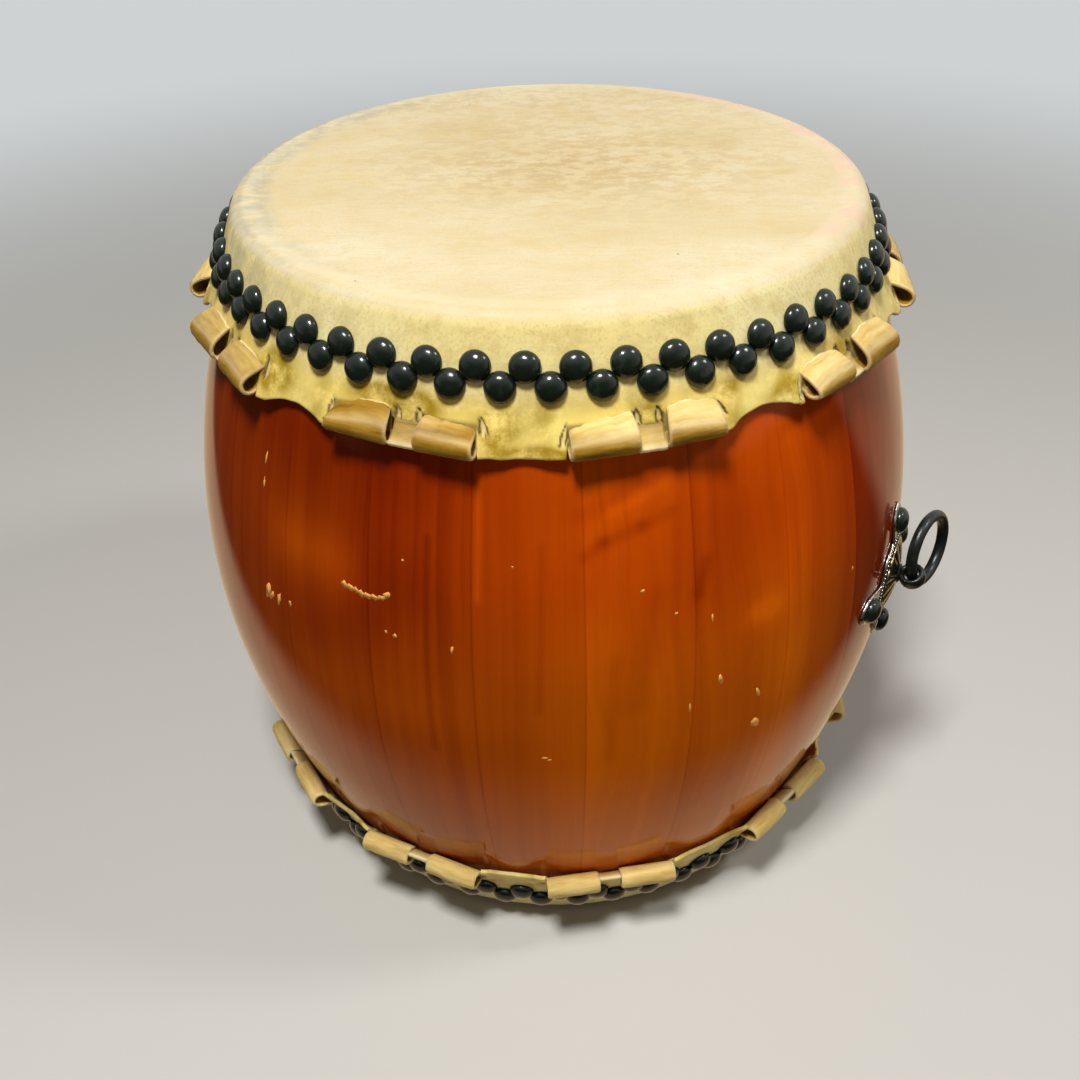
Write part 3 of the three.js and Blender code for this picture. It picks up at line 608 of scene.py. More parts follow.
def stroke_tone(angle, z):
    """Change of tone that the strokes give at a place on the shell."""
    change = 0.0
    for a0, z0, a1, z1, half, depth in STROKES:
        if abs(angle - (a0 + a1) / 2) > STROKE_REACH:
            continue
        scale = radians(1.0) * shell_radius(z)
        px, py = (angle - a0) * scale, z - z0
        dx, dy = (a1 - a0) * scale, z1 - z0
        share = min(max((px * dx + py * dy) / (dx * dx + dy * dy), 0.0), 1.0)
        change += depth * hump(hypot(px - share * dx, py - share * dy) / half)
    return change


def build_stave(index, rng):
    start = FIRST_JOINT + STAVE_PITCH * index
    middle = start + STAVE_PITCH / 2
    first_side, last_side = start + STAVE_SEAM, start + STAVE_PITCH - STAVE_SEAM
    slices, level_count = FINE_GRID if index in FINE_STAVES else PLAIN_GRID
    levels = stave_levels(level_count)
    either = rng.uniform(0.25, 0.62)
    first, last = STAVE_TONES.get(index, (either, either))
    figure = STAVE_FIGURES.get(index, rng.uniform(0.0, 0.5))
    shift = rng.uniform(-5, 5)
    points = []
    values = {"grain": [], "tone": [], "lower": [], "seam": []}

    def add(radius, outer, angle, z):
        turned = apart(angle, 0)
        tone = mix(first, last, (angle - start) / STAVE_PITCH) + 0.12 * smooth(330, 200, z)
        points.append(polar(radius, angle, z))
        values["grain"].append((MM * outer * radians(angle - middle) + shift, MM * z, 3.7 * index))
        values["tone"].append(tone + stroke_tone(turned, z))
        # High at the bottom of the barrel and on its far left, where the floor's reflection is painted in
        values["lower"].append(max(0.90 * smooth(420, 290, z), 0.55 * smooth(-112, -126, turned)))
        values["seam"].append(outer * radians(STAVE_PITCH / 2 - abs(angle - middle)))

    for radius, z in levels:
        for j in range(slices + 1):
            add(radius, radius, mix(first_side, last_side, j / slices), z)
        inner = (min(radius, shell_radius(z)) - WALL) / cos(radians(STAVE_PITCH / 2))
        for angle in (last_side, first_side):
            add(inner, radius, angle, z)
    values["figure"] = [figure] * len(points)
    loop = slices + 3
    faces = tube_faces(len(levels), loop, "capped")
    piece = make_piece(f"lacquered_stave_{index + 1:02d}", points, faces, wood, values)
    smooth_outside(piece, loop, slices, levels)
    settle(piece, "drum", "lacquered_wood", f"stave_{index + 1:02d}")


def smooth_outside(piece, loop, slices, levels):
    """The outer face takes the barrel's own normals, so that no stave looks like a facet."""
    mesh = piece.data
    normals = []
    for polygon in mesh.polygons:
        outside = all(i % loop <= slices for i in polygon.vertices) and len(polygon.vertices) == 4
        for i in polygon.vertices:
            z = levels[i // loop][1]
            x, y, _ = mesh.vertices[i].co
            if not outside:
                normals.append(tuple(polygon.normal))
            elif HEIGHT - EDGE_HEIGHT < z < EDGE_HEIGHT:
                normals.append(tuple(shell_normal(atan2(y, x), z)))
            else:
                normals.append((0.0, 0.0, 0.0))
    mesh.normals_split_custom_set(normals)


stave_rng = random.Random(7)
for stave_index in range(STAVES):
    build_stave(stave_index, stave_rng)


# Heads

# Outer face of a roll across its bore: out from the collar's face and drop, from the fold to the raw edge
ROLL_PATH = ((0.4, 77.5), (1.8, 79.3), (4.0, 80.3), (6.6, 80.3), (9.2, 79.2), (11.2, 77.2), (12.3, 74.6),
             (12.3, 71.8), (11.2, 69.2), (9.2, 67.2), (6.8, 65.4), (4.4, 63.9), (2.3, 62.6), (1.0, 61.6),
             (0.5, 60.8), (1.0, 60.0))
ROLL_TURN = 6
# Shelf of a notch, from the crease to its cut edge
SHELF_PATH = ((0.3, 70.4), (0.8, 72.0), (1.8, 74.0), (3.4, 76.0), (5.3, 77.8), (7.4, 79.0), (9.4, 79.7))
# Rows of the sheet from its middle out
FLAT_RADII = (40, 90, 140, 180, 205, 216, 223)
EDGE_STEPS = 9
COLLAR_DROPS = (10.5, 14, 19, 25, 31, 37, 43, 48, COLLAR_END)
CREASE_ROW = 14
SKIRT_ROWS = CREASE_ROW + len(SHELF_PATH)
# Columns of each run round the sheet
COLUMNS = {"slit": 8, "roll": 22, "notch": 15, "scallop": 14}
SLIT_MARGIN = 9.0
SLIT_END = 1.12
NOTCH_CUT = 0.3
FOLD_GAP = 0.2
LIFT_FADE = 3.4
HEAD_PLACES = {"upper": Matrix.Translation((0, 0, MM * HEIGHT)), "lower": Matrix.Rotation(pi, 4, "X")}


def hide_radius(drop):
    """Outer face of the hide where it lies on the shell."""
    z = HEIGHT - drop
    return shell_radius(z) + HIDE_OUT / cos(shell_tilt(z))


FOLD_LINE = hide_radius(FOLD_DROP) + FOLD_GAP


def side_at(off):
    """Distance along a pair's straight fold at some degrees from its middle."""
    return FOLD_LINE * tan(radians(off))


def degrees_at(side):
    return degrees(atan(side / FOLD_LINE))


def nearest_pair(angle, head):
    return min(range(PAIRS), key=lambda pair: abs(apart(angle, head.ears[pair])))


def head_columns(head):
    """Places round the head: slits, rolls and notches of each pair and the scallops between pairs."""
    columns = []

    def add(pair, kind, angle, side, share):
        columns.append({"pair": pair, "kind": kind, "angle": angle, "side": side, "share": share})

    for pair, ear in enumerate(head.ears):
        a, b, c, d = head.spans.get(pair, ROLL_SPANS)
        for low, high, kind in ((a - SLIT_MARGIN, a, "slit"), (a, b, "roll"), (b, c, "notch"),
                                (c, d, "roll"), (d, d + SLIT_MARGIN, "slit")):
            count = COLUMNS[kind]
            for k in range(count):
                side = mix(low, high, k / count)
                if kind == "notch":
                    side = mix(low + NOTCH_CUT, high - NOTCH_CUT, k / (count - 1))
                add(pair, kind, ear + degrees_at(side), side, k / count)
        following = (pair + 1) % PAIRS
        next_start = head.spans.get(following, ROLL_SPANS)[0] - SLIT_MARGIN
        low = ear + degrees_at(d + SLIT_MARGIN)
        high = head.ears[following] + degrees_at(next_start) + (360 if following == 0 else 0)
        for k in range(COLUMNS["scallop"]):
            share = k / COLUMNS["scallop"]
            angle = mix(low, high, share)
            add(pair, "scallop", angle, side_at(angle - ear), share)
    return columns


def roll_lift(angle, head):
    """How far the straight fold of the nearest pair holds the hide off the round shell."""
    pair = nearest_pair(angle, head)
    off = apart(angle, head.ears[pair])
    start, _, _, end = head.spans.get(pair, ROLL_SPANS)
    inside = min(abs(off), degrees_at(end if off > 0 else -start))
    lift = FOLD_LINE / cos(radians(inside)) - FOLD_LINE
    return lift * hump((abs(off) - inside) / LIFT_FADE)


def fold_rise(column, head):
    """How far a roll's fold climbs at a column, and the hide's free edge between two rolls with it."""
    level = ((0.0, 0.0), (0.0, 0.0))
    climbs = head.climbs.get(column["pair"], level)
    index = 0 if column["side"] < 0 else 1
    if column["kind"] == "roll":
        return mix(*climbs[index], column["share"])
    if column["kind"] == "slit":
        return climbs[index][index]
    if column["kind"] == "scallop":
        following = head.climbs.get((column["pair"] + 1) % PAIRS, level)
        return mix(climbs[1][1], following[0][0], column["share"])
    return 0.0


def slits_of(span, rng):
    """Torn slits at the four ends of a pair's rolls: side and drop of tip and foot, and half width."""
    a, b, c, d = span
    return (
        (a - 0.6, rng.uniform(63, 66), a - rng.uniform(1.5, 3.5), 77.0, 3.0),
        (b + 1.4, rng.uniform(59.5, 61.5), b + 2.4, 69.0, 3.1),
        (c - 2.6, rng.uniform(59.5, 61.5), c - 1.4, 69.5, 3.4),
        (d + 0.8, rng.uniform(55, 63), d + rng.uniform(3.0, 4.5), 71.0, 3.8))


def slit_depth(side, drop, slit):
    """How deep a place lies in a pointed slit, from 0 at its rim to 1 on its middle line."""
    tip_side, tip, foot_side, foot, half = slit
    share = (drop - tip) / (foot - tip)
    if share <= 0 or share >= SLIT_END:
        return 0.0
    width = half * min(share / 0.55, 1.0) ** 0.7 * (1 - smooth(0.9, SLIT_END, share))
    away = abs(side - mix(tip_side, foot_side, share))
    return max(0.0, 1 - away / max(width, 0.01))


def raw_edge(share, drops):
    """Drop of a roll's raw edge, on a curve through its drops at start, middle and end."""
    low, middle, high = drops
    rest = 1 - share
    return low * rest * (1 - 2 * share) + middle * 4 * share * rest + high * share * (2 * share - 1)


class Sheet:
    """Points and faces of a head's hide, with notes on where each point lies."""

    def __init__(self, head):
        self.head = head
        self.points, self.notes, self.faces = [], [], []

    def add(self, x, y, column, drop, zone, **more):
        self.points.append((x, y, -drop))
        self.notes.append({"column": column, "drop": drop, "zone": zone, **more})
        return len(self.points) - 1

    def add_round(self, radius, column, drop, zone, **more):
        x, y, _ = polar(radius, column["angle"], 0)
        return self.add(x, y, column, drop, zone, **more)

    def add_straight(self, out, side, column, drop, zone, **more):
        """Adds a place by its distances along and across the middle of its pair."""
        turn = radians(self.head.ears[column["pair"]])
        x = out * cos(turn) - side * sin(turn)
        y = out * sin(turn) + side * cos(turn)
        return self.add(x, y, column, drop, zone, **more)


def add_skirt(sheet, column, row):
    """A place of the skirt: a notch bends out to a shelf, the rest hangs to the fold or free edge."""
    head, kind, angle, side = sheet.head, column["kind"], column["angle"], column["side"]
    lift = roll_lift(angle, head)
    if kind == "notch" and row > CREASE_ROW:
        out, drop = SHELF_PATH[row - CREASE_ROW - 1]
        share = (row - CREASE_ROW) / len(SHELF_PATH)
        turn = radians(angle - head.ears[column["pair"]])
        x = mix(hide_radius(drop) * cos(turn), hide_radius(drop), share) + out
        drop += 0.5 * wobble(side * 0.35, row * 0.4, head.seed + angle) * share
        sheet.add_straight(x, side, column, drop, "shelf", share=share)
        return
    if kind == "notch":
        share = row / CREASE_ROW
        drop = mix(COLLAR_END, CREASE_DROP, share)
        sheet.add_round(hide_radius(drop) + 0.4 * lift * share ** 2, column, drop, "skirt")
        return
    share, rise = row / SKIRT_ROWS, fold_rise(column, head)
    foot = FOLD_DROP - rise
    if kind != "roll":
        foot = FREE_DROP
        if kind == "scallop":
            foot -= ARCH * head.arches[column["pair"]] * sin(pi * column["share"]) ** 0.8
        foot -= 0.9 * rise
    drop = mix(COLLAR_END, foot, share)
    swell = lift * smooth(0.05, 0.9, share)
    if kind != "roll":
        swell += 1.5 * share ** 2 + 0.8 * share * wobble(angle * 0.25, share, head.seed + 3)
        drop += 0.9 * share * wobble(angle * 0.45, 4.0, head.seed + 8)
    sheet.add_round(hide_radius(drop) + swell, column, drop, "skirt")


def add_rows(sheet, columns):
    """The flat, the bend round the shell's edge, the collar and the skirt."""
    for radius in FLAT_RADII:
        for column in columns:
            sheet.add_round(radius, column, 0.0, "flat")
    for k in range(EDGE_STEPS + 1):
        turn = mix(pi / 2, EDGE_TILT, k / EDGE_STEPS)
        radius, drop = EDGE_CENTRE + HIDE_EDGE * cos(turn), HIDE_EDGE * (1 - sin(turn))
        for column in columns:
            sheet.add_round(radius, column, drop, "bevel", share=k / EDGE_STEPS)
    for drop in COLLAR_DROPS:
        for column in columns:
            lift = 0.3 * wobble(column["angle"] * 0.12, drop * 0.05, sheet.head.seed)
            sheet.add_round(hide_radius(drop) + lift, column, drop, "collar")
    for row in range(1, SKIRT_ROWS + 1):
        for column in columns:
            add_skirt(sheet, column, row)


def add_faces(sheet, columns):
    count = len(columns)
    rows = len(sheet.points) // count
    for row in range(rows - 1):
        below = row >= rows - len(SHELF_PATH) - 1
        for j in range(count):
            k = (j + 1) % count
            kinds = columns[j]["kind"], columns[k]["kind"]
            # Under its crease a notch's shelf is cut free of the rolls beside it
            if below and "notch" in kinds and kinds[0] != kinds[1]:
                continue
            a, b = row * count, (row + 1) * count
            sheet.faces.append((a + j, b + j, b + k, a + k))
    centre = sheet.add(0.0, 0.0, columns[0], 0.0, "flat")
    sheet.faces += [(centre, j, (j + 1) % count) for j in range(count)]


def add_rolls(sheet, columns, rng):
    """Two rolls to a pair, each sewn to the last row of the skirt and cut free on the notch's side."""
    count = len(columns)
    last = len(sheet.points) - 1 - count
    for pair in range(PAIRS):
        rolls = [j for j, column in enumerate(columns) if column["pair"] == pair and column["kind"] == "roll"]
        half = len(rolls) // 2
        for index, picked in enumerate((rolls[:half], rolls[half:])):
            after = (picked[-1] + 1) % count
            end = sheet.head.spans.get(pair, ROLL_SPANS)[2 * index + 1]
            places = [columns[j] for j in picked]
            places.append({**columns[after], "side": end, "share": 1.0, "kind": "roll"})
            feet = [last + j for j in picked]
            if columns[after]["kind"] == "notch":
                drop = FOLD_DROP - fold_rise(places[-1], sheet.head)
                feet.append(sheet.add_straight(FOLD_LINE, end, places[-1], drop, "skirt"))
            else:
                feet.append(last + after)
            add_roll(sheet, feet, places, index, rng.uniform(-0.5, 0.5))


def add_roll(sheet, feet, places, index, bulge):
    """A rolled flap: the hide goes on from its fold out, up and back in to the collar."""
    head, pair = sheet.head, places[0]["pair"]
    seed = head.seed + head.ears[pair]
    drops = head.raw_edges.get(pair, RAW_EDGES)[index]
    turn_drop, top = ROLL_PATH[ROLL_TURN][1], ROLL_PATH[-1][1]
    previous, travelled = feet, 0.0
    for row, (out, path_drop) in enumerate(ROLL_PATH):
        climb = row / (len(ROLL_PATH) - 1)
        before = ROLL_PATH[max(row - 1, 0)]
        travelled += hypot(out - before[0], path_drop - before[1])
        crown = sin(pi * min(climb * 1.15, 1.0))
        current = []
        for column in places:
            share, side = column["share"], column["side"]
            edge = raw_edge(share, drops)
            edge += 1.1 * wobble(side * 0.16, index, seed) + 0.7 * wobble(side * 0.55, index, seed)
            scale = (turn_drop - edge) / (turn_drop - top)
            drop = path_drop
            if row > ROLL_TURN:
                drop = turn_drop - (turn_drop - path_drop) * scale
            drop -= fold_rise(column, head) * (1 - smooth(0.25, 0.6, climb))
            body = out * mix(1.0, 0.86 + 0.14 * min(scale, 1.0), crown)
            body += crown * (bulge + 0.5 * wobble(side * 0.07, climb * 1.5, seed)
                             + 0.22 * wobble(side * 0.30, climb * 4, seed + 9))
            # Ends draw in toward the raw edge and a little at the front
            y = side + 2.6 * smooth(0.45, 0.95, climb) * (exp(-share * 11) - exp(-(1 - share) * 11))
            radius = hide_radius(drop)
            straight = max(radius, FOLD_LINE - FOLD_GAP) if row < ROLL_TURN else radius
            round_x = sqrt(max(radius * radius - y * y, 0.0))
            x = mix(straight, round_x, smooth(0.62, 0.97, climb)) + body
            if row >= len(ROLL_PATH) - 3:
                x += 0.35 * abs(wobble(side * 0.5, 3.0, seed))
            thick = mix(1.0, 0.42, max(climb - 0.8, 0.0) / 0.2) * (0.72 if share in (0.0, 1.0) else 1.0)
            current.append(sheet.add_straight(x, y, column, drop, "roll", travelled=travelled,
                                              climb=climb, thick=thick))
        for k in range(len(places) - 1):
            sheet.faces.append((previous[k], current[k], current[k + 1], previous[k + 1]))
        previous = current


def place_slits(sheet, slits):
    """Sinks the torn slits into the skirt and notes how deep each place lies in one."""
    for i, ((x, y, z), at) in enumerate(zip(sheet.points, sheet.notes)):
        column, drop = at["column"], at["drop"]
        if at["zone"] != "skirt" or column["kind"] == "roll" and drop > 72:
            continue
        deepest = 0.0
        for pair in (column["pair"], (column["pair"] + 1) % PAIRS):
            side = side_at(apart(degrees(atan2(y, x)), sheet.head.ears[pair]))
            deepest = max(deepest, *(slit_depth(side, drop, slit) for slit in slits[pair]))
        if deepest > 0:
            at["slit"] = deepest
            inward = 1 - 2.3 * smooth(0.0, 0.45, deepest) / hypot(x, y)
            sheet.points[i] = (x * inward, y * inward, z)


def facing(angle, middle, far, near):
    """One near a direction, falling to zero far from it, in degrees."""
    return smooth(far, near, abs(apart(angle, middle)))


def place_values(point, at, head):
    """Where a place of the hide is worn, greyed, stained, pale, pink, rolled, golden or dark, with painted
    shade and highlights among these.
    """
    x, y, _ = point
    radius, angle = hypot(x, y), degrees(atan2(y, x))
    drop, zone, column = at["drop"], at["zone"], at["column"]
    pair = nearest_pair(angle, head)
    ear = head.ears[pair]
    off = apart(angle, ear)
    side = side_at(off)
    flat, rolled, hanging = zone == "flat", zone == "roll", zone in ("collar", "skirt")
    bevel = {"flat": 0.0, "bevel": at.get("share")}.get(zone, 1.0)
    left, right, front = facing(angle, 168, 75, 25), facing(angle, 12, 70, 30), facing(angle, -108, 75, 30)

    crest = blush = 0.0
    if flat:
        crest = blush = hump((radius - FLAT_RADII[-1]) / 4.0)
    elif zone == "bevel":
        # A pale line at the flat's edge, and a painted highlight on the roundover
        crest = max(hump(bevel / 0.16), 0.9 * hump((bevel - 0.55) / 0.16))
        blush = 1.0 - 0.5 * bevel

    low = smooth(40, 62, drop)
    at_ends, at_notch = hump((abs(side) - 64) / 10), hump((side - 2) / 12)
    stain = 0.10 + low * max(0.55 * at_ends, 0.55 * at_notch, 0.20 * smooth(24, 11, abs(off)))
    stain += 0.50 * low * wobble(angle * 0.11, drop * 0.03, head.seed + 5)
    for place, place_drop, half_angle, half_drop, strength in head.stains:
        across = apart(angle, place) / (1.2 * half_angle)
        stain += 1.9 * strength * hump(across, (drop - place_drop) / half_drop)

    # Golden brown towards a roll's lower side: partly the hide's own colour, partly painted shade
    ripe_and_shade = mix(*head.ripe_and_shade, smooth(65.0, 75.0, drop + 1.5 * wobble(side * 0.08, 1.0, head.seed)))
    age_and_shade = head.aging * smooth(-0.1, 0.35, wobble(ear * 0.7, side * 0.02, head.seed + 2))
    # Some rolls have their own golden brown, which also paints shade on a roll in shade
    if pair in head.roll_gold_and_shade:
        age_and_shade = head.roll_gold_and_shade[pair][0 if side < 0 else 1]

    depth = at.get("slit", 0.0)
    pale = 0.5 * smooth(0.5, 0.8, depth)
    # Painted shadow just inside a slit's rim
    dark = smooth(0.0, 0.10, depth) * (1 - smooth(0.46, 0.68, depth))
    if rolled:
        end = 0.5 if column["share"] in (0.0, 1.0) else 0.0
        # The cut ends and raw edge of a roll are pale; the stripe part way up is a painted highlight
        pale = max(end, 0.9 * smooth(0.92, 0.98, at["climb"]), 0.35 * hump((at["climb"] - 0.55) / 0.05))
    if zone == "shelf":
        pale = 0.8 * smooth(0.75, 1.0, at["share"])
    # Painted shade on the skirt behind a roll, where it shows through the bore
    if zone == "skirt" and column["kind"] == "roll":
        dark = max(dark, 0.75 * smooth(63, 66, drop))
    # Painted shadow along a notch's crease
    if zone in ("skirt", "shelf") and column["kind"] == "notch":
        dark = max(dark, 0.75 * hump((drop - CREASE_DROP - 0.3) / 0.8))

    return {
        # Share of the wall's colour, yellower and painted brighter than the flat to even out the flat's
        # stronger light
        "side": smooth(0.55, 1.0, bevel),
        # The rubbed middle, and painted shade browning the back of the flat
        "worn": min(hump((x - 30) / 150, (y - 20) / 85) + 0.55 * smooth(70, 210, y), 1.0) if flat else 0.0,
        # Greyer and darker on the left side, near the flat's edge and on the wall
        "left_greying": left * (0.75 * smooth(205, 222, radius) if bevel < 0.6 else 0.50),
        "yellow": low * (0.40 + 0.60 * front) if hanging else 0.0,
        "stain": min(max(stain, 0.0), 1.0) if hanging else 0.0,
        "rim": 0.42 * crest,
        "pink": right * blush,
        "roll": {"roll": 1.0, "shelf": 0.85}.get(zone, 0.0),
        "gold_and_shade": min(1.0, ripe_and_shade + age_and_shade) if rolled else head.notch_age.get(pair, 0.45),
        "edge": pale,
        "dark": dark,
        "flow": (MM * (column["side"] if rolled else side), MM * at.get("travelled", drop), ear)}


def thicken(piece):
    """Gives a sheet its thickness, inward from its outer face."""
    thick = piece.modifiers.new("hide", "SOLIDIFY")
    thick.thickness = MM * HIDE
    thick.offset = -1
    thick.vertex_group = "thickness"
    graph = bpy.context.evaluated_depsgraph_get()
    mesh = bpy.data.meshes.new_from_object(piece.evaluated_get(graph))
    piece.modifiers.clear()
    piece.data = mesh
    mesh.shade_smooth()


def build_head(side, head):
    rng = random.Random(head.seed)
    slits = [slits_of(head.spans.get(pair, ROLL_SPANS), rng) for pair in range(PAIRS)]
    columns = head_columns(head)
    sheet = Sheet(head)
    add_rows(sheet, columns)
    add_faces(sheet, columns)
    add_rolls(sheet, columns, rng)
    place_slits(sheet, slits)
    values = [place_values(point, at, head) for point, at in zip(sheet.points, sheet.notes)]
    values = {key: [value[key] for value in values] for key in values[0]}
    piece = make_piece(f"{side}_hide", sheet.points, sheet.faces, hide, values, HEAD_PLACES[side])
    thickness = piece.vertex_groups.new(name="thickness")
    for i, at in enumerate(sheet.notes):
        thickness.add([i], at.get("thick", 1.0), "REPLACE")
    thicken(piece)
    settle(piece, "drum", "rawhide", f"{side}_head_skin")


build_head("upper", UPPER)
build_head("lower", LOWER)


# Tacks: domes with a thin straight rim, two staggered rows to a head

DOME_RIM = 0.9


def dome_part(dome):
    profile = [(0, 0), (TACK_RADIUS * 0.6, 0), (TACK_RADIUS - 0.5, 0), (TACK_RADIUS - 0.05, 0.35),
               (TACK_RADIUS, DOME_RIM)]
    steps = 9
    for k in range(1, steps + 1):
        turn = pi / 2 * k / steps
        radius = TACK_RADIUS * cos(turn) ** 0.9 if k < steps else 0.0
        profile.append((radius, DOME_RIM + (dome - DOME_RIM) * sin(turn)))
    return spin(profile, 28)


def build_tacks(side, seed):
    rng = random.Random(seed)
    dome = dome_part(TACK_DOME)
    pitch = 360 / TACKS
    parts = []
    for row, row_drop in enumerate(TACK_DROPS):
        for k in range(TACKS):
            angle = TACK_PHASE + pitch * k + pitch / 2 * row + rng.uniform(-0.06, 0.06)
            drop = row_drop + rng.uniform(-0.5, 0.5)
            tip, rock = (Matrix.Rotation(radians(rng.uniform(-2.5, 2.5)), 4, axis) for axis in "XY")
            point = polar(hide_radius(drop), angle, -drop)
            seat = seat_on(radians(angle), HEIGHT - drop, point, 0.25 - 0.2 * row)
            parts.append(moved(dome, seat @ tip @ rock))
    piece = make_piece(f"{side}_tack_rows", *joined(parts), tack_black, matrix=HEAD_PLACES[side])
    settle(piece, "drum", "black_iron", f"{side}_head_tacks")


build_tacks("upper", 3)
build_tacks("lower", 4)


# Handles, in a frame with X out, Y along the shell and Z up from the handle's middle

def handle_seat(side, up, lift):
    """Matrix with Z along the shell's normal at a place beside the handle's middle."""
    turn = side / HANDLE_RADIUS
    z = HANDLE_HEIGHT + up
    return seat_on(turn, z, around(shell_radius(z), turn, up), lift)


def round_seat(reach, turn, lift):
    return handle_seat(reach * cos(turn), reach * sin(turn), lift)


def on_shell(reach, turn, lift):
    return tuple(round_seat(reach, turn, lift).translation)


def plate_reach(turn):
    """Lobed outline: a waist with a lobe and a small tip round each of the four tacks."""
    best = PLATE_WAIST + 1.2 * cos(8 * turn)
    for quarter in range(4):
        reach = REACH_SIDE if quarter % 2 == 0 else REACH_UP
        off = (turn - quarter * pi / 2 + pi) % (2 * pi) - pi
        across = reach * sin(off)
        if abs(across) < LOBE and cos(off) > 0:
            best = max(best, reach * cos(off) + sqrt(LOBE ** 2 - across ** 2))
        if abs(off) < TIP_ANGLE:
            best = max(best, reach + LOBE + TIP * (1 - abs(off) / TIP_ANGLE))
    return best


def plate_part():
    turns = round_turns(240)
    reaches = [plate_reach(turn) for turn in turns]
    shares = (0.0, 0.2, 0.4, 0.6, 0.75, 0.88, 0.96, 1.0)
    points = []
    for share in shares:
        rim = share == 1.0
        for turn, end in zip(turns, reaches):
            reach = mix(PLATE_HOLE, end - 0.8 * rim, share)
            ridge = 0.7 * hump((end - reach - 3.0) / 1.1)
            fall = 0.5 * smooth(24, 50, reach)
            points.append(on_shell(reach, turn, PLATE_TOP - fall + ridge - 0.35 * rim))
    for share in shares[::-1]:
        for turn, end in zip(turns, reaches):
            reach = mix(PLATE_HOLE, end, share)
            points.append(on_shell(reach, turn, PLATE_SEAT + 0.35 * smooth(50, 24, reach)))
    return points, tube_faces(2 * len(shares), len(turns), "joined")


def bead_part(turn):
    profile = [(0, -0.3), (BEAD_RADIUS, -0.1)]
    profile += [(BEAD_RADIUS * cos(a), BEAD_RADIUS * 0.8 * sin(a)) for a in (0.35, 0.8, 1.2)]
    profile.append((0, BEAD_RADIUS * 0.8))
    return moved(spin(profile, 10), round_seat(BOSS_RADIUS + BEAD_GAP, turn, PLATE_TOP))


def boss_part():
    turns = round_turns(168)
    # Radius as a share of the boss, height above the plate, and how much the flutes bite
    rings = ((0.16, 0.0, 0.35), (0.90, 0.0, 0.1), (0.97, 0.4, 0.0), (1.0, 1.1, 0.0), (0.95, 1.9, 0.6),
             (0.82, 2.9, 1.0), (0.64, 3.9, 1.0), (0.46, 4.7, 0.6), (0.36, 5.3, 0.0), (0.30, 5.5, 0.0),
             (0.16, 5.4, 0.0))
    points = []
    for reach, high, flute in rings:
        for turn in turns:
            groove = abs(cos(BOSS_PETALS * turn / 2)) ** 0.6
            scale = 1 - (0.05 * (1 - groove) if reach > 0.8 else 0.0)
            lift = PLATE_TOP + 0.2 + high - flute * 1.1 * (1 - groove)
            points.append(on_shell(BOSS_RADIUS * reach * scale, turn, lift))
    return points, tube_faces(len(rings), len(turns), "joined")


def hinge_matrix():
    """The eye's hole, with Z along it and X out of the drum."""
    hole = Vector((0, -sin(EYE_TWIST), cos(EYE_TWIST))) * cos(EYE_LEAN)
    hole += Vector((sin(EYE_LEAN), 0, 0))
    out = (Vector((1, 0, 0)) - hole * hole.x).normalized()
    return frame_at(out, hole.cross(out), hole, Vector((HANDLE_RADIUS + HINGE_OUT, 0, 0)))


def ring_part():
    turns, bends = round_turns(96), round_turns(28)
    points = []
    for turn in turns:
        wire = WIRE - 0.12 + 0.10 * wobble(3 * cos(turn), 3 * sin(turn), 1)
        for bend in bends:
            reach = RING_RADIUS + wire * cos(bend)
            points.append((RING_RADIUS + reach * cos(turn), wire * sin(bend), reach * sin(turn)))
    return points, tube_faces(len(turns), len(bends), "joined")


def eye_part():
    """Rounded band round the ring's wire."""
    turns, bends = round_turns(56), round_turns(20)
    points = []
    for bend in bends:
        c, s = cos(bend), sin(bend)
        radius = EYE_MIDDLE + EYE_HALF_BAND * copysign(abs(c) ** 0.75, c)
        z = EYE_HALF_LENGTH * copysign(abs(s) ** 0.8, s)
        points += [around(radius, turn, z) for turn in turns]
    return points, tube_faces(len(bends), len(turns), "joined")


def neck_part():
    """Tapered neck and shank of the bolt, along X."""
    foot, top = HANDLE_RADIUS - WALL - 4, HANDLE_RADIUS + BOSS_TOP
    head = ((SHANK_RADIUS, -1.5), (7.8, -1.3), (8.4, -0.3), (7.9, 0.7), (6.2, 1.6), (5.2, 2.6), (5.2, 3.6),
            (0, 4.4))
    profile = [(0, foot), (SHANK_RADIUS, foot)] + [(radius, top + up) for radius, up in head]
    return moved(spin(profile, 40), Matrix.Rotation(pi / 2, 4, "Y"))


def leg_part(side):
    """One clinched leg of the bolt, bent over the inside washer."""
    low = HANDLE_RADIUS - WALL - 5.0
    path = [Vector((low + 7, 0, side * 2.2)), Vector((low + 2.5, 0, side * LEG_BEND))]
    steps = 5
    for k in range(1, steps + 1):
        turn = pi / 2 * k / steps
        path.append(Vector((low + 2.5 - LEG_BEND * sin(turn), 0,
                            side * (LEG_BEND + LEG_BEND * (1 - cos(turn))))))
    path.append(Vector((low + 0.2, 0, side * LEG_REACH)))
    turns = round_turns(12)
    points = []
    for i, point in enumerate(path):
        along = (path[min(i + 1, len(path) - 1)] - path[max(i - 1, 0)]).normalized()
        across = Vector((0, 1, 0))
        rise = across.cross(along)
        points += [tuple(point + LEG_RADIUS * (cos(t) * across + sin(t) * rise)) for t in turns]
    return points, tube_faces(len(path), len(turns), "capped")


